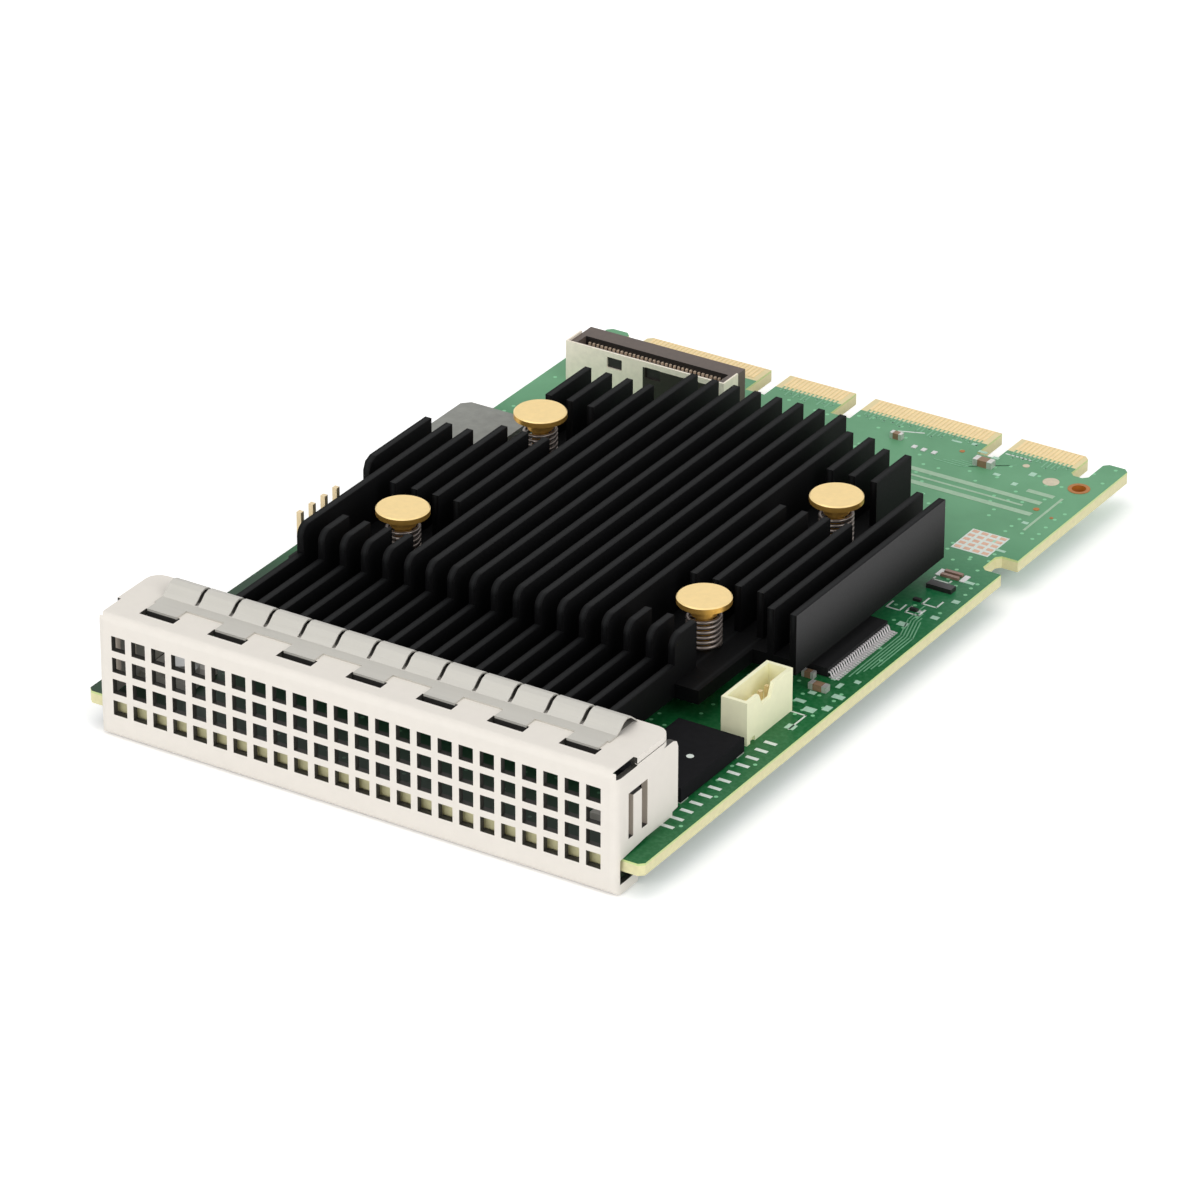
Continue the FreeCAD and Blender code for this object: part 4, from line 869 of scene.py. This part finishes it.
@dataclass
class Board:
    """The green board with its tracks, pads and plain marks.

    Lengths are in millimetres, with y from the front edge and x from the middle.
    """

    mask_front: Colour = srgb(4, 98, 46)
    mask_middle: Colour = srgb(14, 112, 64)
    mask_rear: Colour = srgb(104, 164, 122)
    edge: Colour = srgb(232, 226, 178)
    edge_line: Colour = srgb(205, 220, 150)
    laminate: Colour = srgb(236, 220, 170)
    edge_low: float = 0.9
    edge_line_high: float = 0.28
    bare_from: float = 111.3
    bare_half: float = 32.3
    hole_at: Pair = (35.1, 106.7)
    hole_reach: float = 1.2
    hole_wall: Colour = srgb(186, 112, 40)
    fine_scale: float = 1800.0
    broad_scale: float = 130.0
    middle_y: Pair = (50.0, 76.0)
    rear_y: Pair = (72.0, 98.0)
    dark_share: float = 0.72
    broad_mix: Pair = (-0.3, 0.42)
    fine_mix: Pair = (-0.25, 0.38)
    via_cells: tuple[float, float, float] = (520.0, 0.13, 0.34)
    via_tone: Pair = (1.5, 0.03)
    shade: Colour = srgb(8, 20, 14)
    shaded_to: float = 13.5
    shaded_half: float = 34.6
    shaded_share: float = 0.82
    dim_left: Pair = (32.5, 37.0)
    dim_to: Pair = (32.0, 47.0)
    dim_share: float = 0.75
    roughness: Pair = (0.36, 0.54)
    specular: float = 0.3
    relief: float = 0.05
    artwork_high: float = 0.03

    def material(self) -> bpy.types.Material:
        """Return the board's material.

        Returns:
            Solder mask on the flat sides and bare glass fibre on the cut edges.
        """
        material = bpy.data.materials.new("solder_mask_board")
        material.use_nodes = True
        graph = Graph(material.node_tree)
        place = graph.place()
        fine = graph.noise(place, self.fine_scale, FINE_DETAIL)
        flat = graph.over(graph.math("ABSOLUTE", graph.facing()[2]), SIDE_ON)
        colour = graph.blend(flat, self.fibre(graph, place, fine), self.mask(graph, place, fine))
        graph.link(colour, graph.shader.inputs["Base Color"])
        graph.link(graph.spread(fine, *self.roughness), graph.shader.inputs["Roughness"])
        graph.shader.inputs["Specular IOR Level"].default_value = self.specular
        graph.bump(fine, self.relief)
        return material

    def mask(self, graph: Graph, place: Socket, fine: Socket) -> Socket:
        """Return the colour of the flat sides.

        Args:
            graph: the node tree of the material.
            place: the coordinates.
            fine: the fine noise.

        Returns:
            Mottled green that gets paler to the rear, with vias, shade and a bare rear strip.
        """
        x, y, _ = graph.axes(place)
        broad = graph.noise(place, self.broad_scale)
        shown = graph.blend(self.rise(graph, y, self.middle_y), self.mask_front, self.mask_middle)
        shown = graph.blend(self.rise(graph, y, self.rear_y), shown, self.mask_rear)
        dark = tuple(c * self.dark_share for c in self.mask_front)
        shown = graph.blend(graph.spread(broad, *self.broad_mix), shown, dark)
        shown = graph.blend(graph.spread(fine, *self.fine_mix), shown, self.mask_rear)
        gain, lift = self.via_tone
        via = tuple(min(1.0, c * gain + lift) for c in self.mask_rear)
        shown = graph.blend(graph.dots(place, *self.via_cells), shown, via)
        shown = graph.blend(self.dimness(graph, x, y), shown, self.shade)
        bare = graph.both(
            graph.over(y, CARD.y(self.bare_from) * MM),
            graph.under(graph.math("ABSOLUTE", x), self.bare_half * MM),
        )
        return graph.blend(bare, shown, self.laminate)

    def dimness(self, graph: Graph, x: Socket, y: Socket) -> Socket:
        """Return how dim the board is behind the faceplate and along its front left edge.

        Args:
            graph: the node tree of the material.
            x: the place across the board.
            y: the place along the board.

        Returns:
            The share of the shade colour.
        """
        behind = graph.both(
            graph.under(y, CARD.y(self.shaded_to) * MM),
            graph.under(graph.math("ABSOLUTE", x), self.shaded_half * MM),
        )
        left = graph.step(x, -self.dim_left[0] * MM, -self.dim_left[1] * MM)
        ahead = graph.math("SUBTRACT", 1.0, self.rise(graph, y, self.dim_to))
        beside = graph.math("MULTIPLY", graph.both(left, ahead), self.dim_share)
        return graph.either(graph.math("MULTIPLY", behind, self.shaded_share), beside)

    def fibre(self, graph: Graph, place: Socket, fine: Socket) -> Socket:
        """Return the colour of the cut edges.

        Args:
            graph: the node tree of the material.
            place: the coordinates.
            fine: the fine noise.

        Returns:
            Pale glass fibre with a line under the top, and copper on the wall of the plated hole.
        """
        x, y, z = graph.axes(place)
        shown = graph.ramp(fine, tuple(c * self.edge_low for c in self.edge), self.edge)
        line = graph.over(z, (CARD.top_z - self.edge_line_high) * MM)
        across = graph.math("ABSOLUTE", graph.math("SUBTRACT", x, self.hole_at[0] * MM))
        along = graph.math("ABSOLUTE", graph.math("SUBTRACT", y, CARD.y(self.hole_at[1]) * MM))
        near_hole = graph.under(graph.either(across, along), self.hole_reach * MM)
        return graph.blend(near_hole, graph.blend(line, shown, self.edge_line), self.hole_wall)

    def rise(self, graph: Graph, y: Socket, between: Pair) -> Socket:
        """Return a smooth step from 0 to 1 between two distances from the front edge."""
        return graph.step(y, CARD.y(between[0]) * MM, CARD.y(between[1]) * MM)

    def build(self, frame: dict) -> None:
        """Dress the board and lay its tracks, pads and marks.

        Args:
            frame: the loaded frame.
        """
        dress(frame, "circuit_board", self.material())
        dress(frame, "hole_ring", DARK_COPPER)
        dress(frame, "edge_fingers_top", CONTACT_GOLD)
        dress(frame, "edge_fingers_bottom", CONTACT_GOLD)
        self.rear_tracks()
        self.thin_tracks()
        self.pad_grid()
        self.chip_pads()
        self.white_marks()
        self.pale_marks()
        self.solder_pads()

    def lay(self, brush: Brush, rows: Sequence[Patch], high: float | None = None) -> None:
        """Add flat patches given by their left, right, front and rear.

        Args:
            brush: the brush that collects them.
            rows: the patches, in millimetres on the board.
            high: their height above the board.
        """
        top = self.artwork_high if high is None else high
        for left, right, front, rear in rows:
            brush.block((left, CARD.y(front), CARD.z(0.0)), (right, CARD.y(rear), CARD.z(top)))

    def trace(self, brush: Brush, points: Sequence[Pair], width: float) -> None:
        """Add a track through points on the board, in millimetres."""
        brush.run([(x, CARD.y(y)) for x, y in points], CARD.z(0.0), CARD.z(self.artwork_high), width)

    def rear_tracks(self) -> None:
        """Lay the wide pale tracks across the rear and the line beside their ends."""
        brush = Brush("rear_tracks")
        for points, width in (
            (((13.0, 100.7), (32.7, 100.7)), 0.9),
            (((14.0, 97.5), (33.1, 97.5)), 0.9),
            (((13.6, 99.1), (31.2, 99.1)), 0.4),
            (((30.2, 103.0), (33.3, 103.0)), 0.8),
            (((34.7, 93.5), (34.7, 103.1)), 0.35),
        ):
            self.trace(brush, points, width)
        brush.finish(TRACK)

    def thin_tracks(self) -> None:
        """Lay the thin tracks that lead from the contacts and along the right edge."""
        brush = Brush("thin_tracks")
        low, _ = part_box("edge_fingers_top")
        start = low.y / MM - CARD.front_y
        first, pitch, half, via = 1.05, 0.6, 0.1, 0.24
        shortest, longest = 0.9, 2.6
        draw = random.Random(11)
        for left, count in ((1.4, 28), (22.5, 14), (-11.1, 14)):
            for index in range(count):
                x = left + first + index * pitch
                reach = start - draw.uniform(shortest, longest)
                self.lay(brush, [(x - half, x + half, reach, start)])
                if index % 2:
                    brush.disc(x, CARD.y(reach), CARD.z(0.0), CARD.z(self.artwork_high), via)
        width, aside = 0.16, 1.2
        for index in range(5):
            x = 35.4 + index * 0.42
            bends = ((x, 50.0 + index), (x, 62.0), (x - aside, 66.0), (x - aside, 70.0 - index))
            self.trace(brush, bends, width)
        for index in range(6):
            y, x = 104.3 + index * 0.5, index * 0.7
            self.trace(brush, ((16.0 + index, y), (20.0 + x, y), (22.0 + x, y + 1.4)), width)
        brush.finish(THIN_TRACK)

    def pad_grid(self) -> None:
        """Lay the white field with its grid of bare pads near the right edge, and the round pads."""
        field_high, pad_high, spot_high = 0.025, 0.05, 0.04
        field_brush = Brush("pad_field")
        self.lay(field_brush, [(29.3, 34.4, 84.9, 90.5)], field_high)
        field_brush.finish(SILK)
        pads = Brush("pad_grid")
        half_x, half_y = 0.42, 0.3
        for row in range(5):
            for column in range(4):
                x, y = 29.95 + column * 1.27, 85.5 + row * 1.12
                pads.block(
                    (x - half_x, CARD.y(y - half_y), CARD.z(field_high)),
                    (x + half_x, CARD.y(y + half_y), CARD.z(pad_high)),
                )
        pads.finish(BARE_COPPER)
        pad = Brush("round_pad")
        for x, y, radius in ((31.3, 106.5, 1.05), (26.6, 108.7, 0.45)):
            pad.disc(x, CARD.y(y), CARD.z(0.0), CARD.z(spot_high), radius)
        pad.finish(ROSE_PAD)
        spots = Brush("small_copper_spots")
        for x, y, radius in ((33.3, 99.1, 0.4), (17.9, 108.0, 0.35), (36.0, 98.0, 0.25)):
            spots.disc(x, CARD.y(y), CARD.z(0.0), CARD.z(spot_high), radius)
        spots.finish(DARK_COPPER)

    def chip_pads(self) -> None:
        """Lay the soldered pads under the leads of the thin chip."""
        brush = Brush("chip_solder_pads")
        low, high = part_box("flash_chip_leads")
        pitch, wide, inward, outward, tall, first = 0.5, 0.17, 1.0, 0.35, 0.06, 0.11
        count = int((high.y - low.y) / MM / pitch) + 1
        for index in range(count):
            y = low.y / MM + first + index * pitch
            for x, way in ((high.x / MM, 1.0), (low.x / MM, -1.0)):
                ends = sorted((x - way * inward, x + way * outward))
                brush.block((ends[0], y - wide, CARD.z(0.0)), (ends[1], y + wide, CARD.z(tall)))
        brush.finish(SOLDER)

    def white_marks(self) -> None:
        """Lay plain white outlines and bars beside the parts."""
        brush = Brush("white_marks")
        width, bars, first, pitch, bar_long = 0.22, 12, 8.6, 2.05, 0.55
        for points in (
            ((31.6, 77.1), (31.6, 76.5), (33.8, 76.5), (33.8, 77.1)),
            ((30.4, 69.0), (30.4, 67.4), (32.2, 67.4), (32.2, 69.0)),
            ((33.0, 69.0), (33.0, 67.4), (34.8, 67.4), (34.8, 69.0)),
            ((33.7, 71.9), (33.7, 70.3), (35.6, 70.3), (35.6, 71.9)),
            ((22.9, 110.3), (26.3, 110.3)),
            ((8.4, 108.6), (11.4, 109.8)),
            ((30.0, 39.2), (35.9, 39.2), (35.9, 35.4)),
        ):
            self.trace(brush, points, width)
        for index in range(bars):
            front = first + index * pitch
            self.lay(brush, [(35.0, 36.6, front, front + bar_long)])
        brush.finish(SILK)
        dot = Brush("pin_one_dot")
        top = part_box("power_inductor")[1].z / MM
        dot.disc(31.4, CARD.y(20.9), top, top + 0.02, 0.45)
        dot.finish(SILK)

    def pale_marks(self) -> None:
        """Lay the pale green marks of covered copper."""
        brush = Brush("pale_marks")
        self.lay(brush, PALE_MARKS)
        brush.finish(MINT)

    def solder_pads(self) -> None:
        """Lay the small bright pads and the ends of the tiny parts."""
        brush = Brush("solder_pads")
        pad_high = 0.12
        self.lay(brush, SOLDER_PADS, pad_high)
        brush.finish(SOLDER)


@dataclass
class CoilSprings:
    """The four coil springs under the pin heads."""

    turns: float = 6.5
    steps: int = 28
    wire: float = 0.24
    closed: float = 0.6
    wire_sides: int = 3

    def build(self, frame: dict) -> None:
        """Wind each spring in the place of its CAD sleeve.

        Args:
            frame: the loaded frame.
        """
        for front_rear in ("front", "rear"):
            for side in ("left", "right"):
                self.turn(frame, f"push_pin_{front_rear}_{side}")
                self.wind(f"pin_spring_{front_rear}_{side}")

    def turn(self, frame: dict, node: str) -> None:
        """Dress one pin with turning marks around its own axis.

        Args:
            frame: the loaded frame.
            node: the pin.
        """
        low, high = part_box(node)
        middle = (low + high) / 2
        dress(frame, node, replace(BRASS, name=f"{BRASS.name}_{node}", centre=(middle.x, middle.y)))

    def wind(self, node: str) -> None:
        """Wind one spring.

        Args:
            node: the CAD sleeve that the spring stands for.
        """
        low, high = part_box(node)
        middle = (low + high) / 2
        radius = (high.x - low.x) / 2 - self.wire * MM
        curve = bpy.data.curves.new(f"coil_{node}", "CURVE")
        curve.dimensions = "3D"
        curve.bevel_depth = self.wire * MM
        curve.bevel_resolution = self.wire_sides
        spline = curve.splines.new("POLY")
        count = int(self.turns * self.steps)
        spline.points.add(count)
        height = high.z - low.z - 2 * self.wire * MM
        for i, point in enumerate(spline.points):
            turn = i / self.steps
            share = min(1.0, max(0.0, (turn - self.closed) / (self.turns - 2 * self.closed)))
            angle = 2 * math.pi * turn
            point.co = (
                middle.x + radius * math.cos(angle),
                middle.y + radius * math.sin(angle),
                low.z + self.wire * MM + share * height,
                1.0,
            )
        made = bpy.data.objects.new(f"coil_{node}", curve)
        bpy.context.scene.collection.objects.link(made)
        curve.materials.append(WIRE.build())
        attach(made, "root")
        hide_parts(node)
        LOG.info("piece %s", made.name)


PLAIN_NODES: dict[str, Finish] = {
    "faceplate": SHEET,
    "emi_finger_strip": SPRING_SHEET,
    "heatsink": BLACK_ANODISED,
    "thermal_pad": PAD,
    "controller_substrate": LAMINATE,
    "controller_lid": TIN,
    "flash_chip_body": CHIP_BLACK,
    "flash_chip_leads": LEAD_TIN,
    "power_inductor": BLOCK_BLACK,
    "power_inductor_terminals": TIN,
    "grey_inductor": COIL_GREY,
    "grey_inductor_terminals": TIN,
    "cable_connector_housing": HOUSING,
    "cable_connector_shell": SHELL,
    "cable_connector_contacts": BLADE_GOLD,
    "battery_header_housing": CREAM,
    "battery_header_pins": PIN_GOLD,
    "jumper_header_base": CHIP_BLACK,
    "jumper_header_pins": PIN_GOLD,
    "bracket_screw_left": SCREW,
    "bracket_screw_right": SCREW,
    "bracket_nut_left": SCREW,
    "bracket_nut_right": SCREW,
    "chip_capacitors": CERAMIC,
    "chip_capacitor_ends": TIN,
    "chip_resistors": RESISTOR,
}


@dataclass
class Studio:
    """Floor, background, lamps and camera."""

    azimuth: float = 32.042
    elevation: float = 28.067
    roll: float = 0.12
    lens: float = 202.09
    camera_at: Point = (376.9, -607.35, 382.5)
    sensor: float = 36.0
    clip: Pair = (0.05, 20.0)
    floor_size: float = 8.0
    floor_z: float = -0.0002
    floor_scale: float = 20.0
    floor_low: Colour = (0.93, 0.93, 0.93)
    floor_high: Colour = (0.95, 0.95, 0.95)
    floor_seen: Colour = (1.25, 1.25, 1.25)
    floor_lift: float = 0.1
    floor_roughness: float = 0.95
    surround: float = 0.58
    background: float = 1.0

    def build(self) -> None:
        """Set up everything around the card."""
        self.floor()
        self.world()
        self.lamps()
        self.camera()

    def floor(self) -> None:
        """Lay a pale floor that shows white to the camera and keeps a soft shadow."""
        material = bpy.data.materials.new("studio_floor")
        material.use_nodes = True
        graph = Graph(material.node_tree)
        seen = graph.seen()
        plain = graph.ramp(graph.noise(graph.place(), self.floor_scale), self.floor_low, self.floor_high)
        graph.link(graph.blend(seen, plain, self.floor_seen), graph.shader.inputs["Base Color"])
        graph.shader.inputs["Roughness"].default_value = self.floor_roughness
        graph.shader.inputs["Specular IOR Level"].default_value = 0.0
        graph.shader.inputs["Emission Color"].default_value = (1.0, 1.0, 1.0, 1.0)
        graph.link(graph.math("MULTIPLY", seen, self.floor_lift), graph.shader.inputs["Emission Strength"])
        bpy.ops.mesh.primitive_plane_add(size=self.floor_size, location=(0.0, 0.0, self.floor_z))
        plane = bpy.context.object
        plane.name = "studio_floor"
        plane.data.materials.append(material)

    def world(self) -> None:
        """Light the card from a soft white surround that shows white itself."""
        world = bpy.data.worlds.new("studio_world")
        bpy.context.scene.world = world
        world.use_nodes = True
        graph = Graph(world.node_tree)
        graph.shader.inputs["Color"].default_value = (1.0, 1.0, 1.0, 1.0)
        level = graph.spread(graph.seen(), self.surround, self.background)
        graph.link(level, graph.shader.inputs["Strength"])

    def lamps(self) -> None:
        """Hang one large soft lamp above, one at the front left and one at the right."""
        for name, at, size, power in (
            ("lamp_top", (-0.25, -0.1, 0.9), 0.9, 1.8),
            ("lamp_front", (-0.15, -1.05, 0.36), 0.7, 3.3),
            ("lamp_right", (0.95, -0.3, 0.5), 0.7, 3.4),
        ):
            data = bpy.data.lights.new(name, "AREA")
            data.size = size
            data.energy = power
            lamp = bpy.data.objects.new(name, data)
            bpy.context.scene.collection.objects.link(lamp)
            lamp.location = at
            lamp.rotation_mode = "QUATERNION"
            lamp.rotation_quaternion = (Vector((0.0, 0.0, 0.0)) - Vector(at)).to_track_quat("-Z", "Y")

    def camera(self) -> None:
        """Place the camera at the angle of the photograph."""
        data = bpy.data.cameras.new("camera")
        data.lens = self.lens
        data.sensor_width = self.sensor
        data.clip_start, data.clip_end = self.clip
        made = bpy.data.objects.new("camera", data)
        bpy.context.scene.collection.objects.link(made)
        a, e, r = (math.radians(v) for v in (self.azimuth, self.elevation, self.roll))
        back = Vector((math.sin(a) * math.cos(e), -math.cos(a) * math.cos(e), math.sin(e)))
        right = Vector((math.cos(a), math.sin(a), 0.0))
        up = back.cross(right)
        turned_right = math.cos(r) * right + math.sin(r) * up
        turned_up = -math.sin(r) * right + math.cos(r) * up
        axes = Matrix((turned_right, turned_up, back)).transposed().to_4x4()
        made.matrix_world = Matrix.Translation(Vector(self.camera_at) * MM) @ axes
        bpy.context.scene.camera = made


def main() -> None:
    """Build the scene in order."""
    logging.basicConfig(level=logging.INFO, format="%(message)s")
    random.seed(7)
    bpy.context.scene.view_settings.view_transform = "Standard"
    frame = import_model()
    for node, look in PLAIN_NODES.items():
        dress(frame, node, look)
    Board().build(frame)
    CoilSprings().build(frame)
    Studio().build()
    LOG.info("built board, springs and studio")


if __name__ == "__main__":
    main()
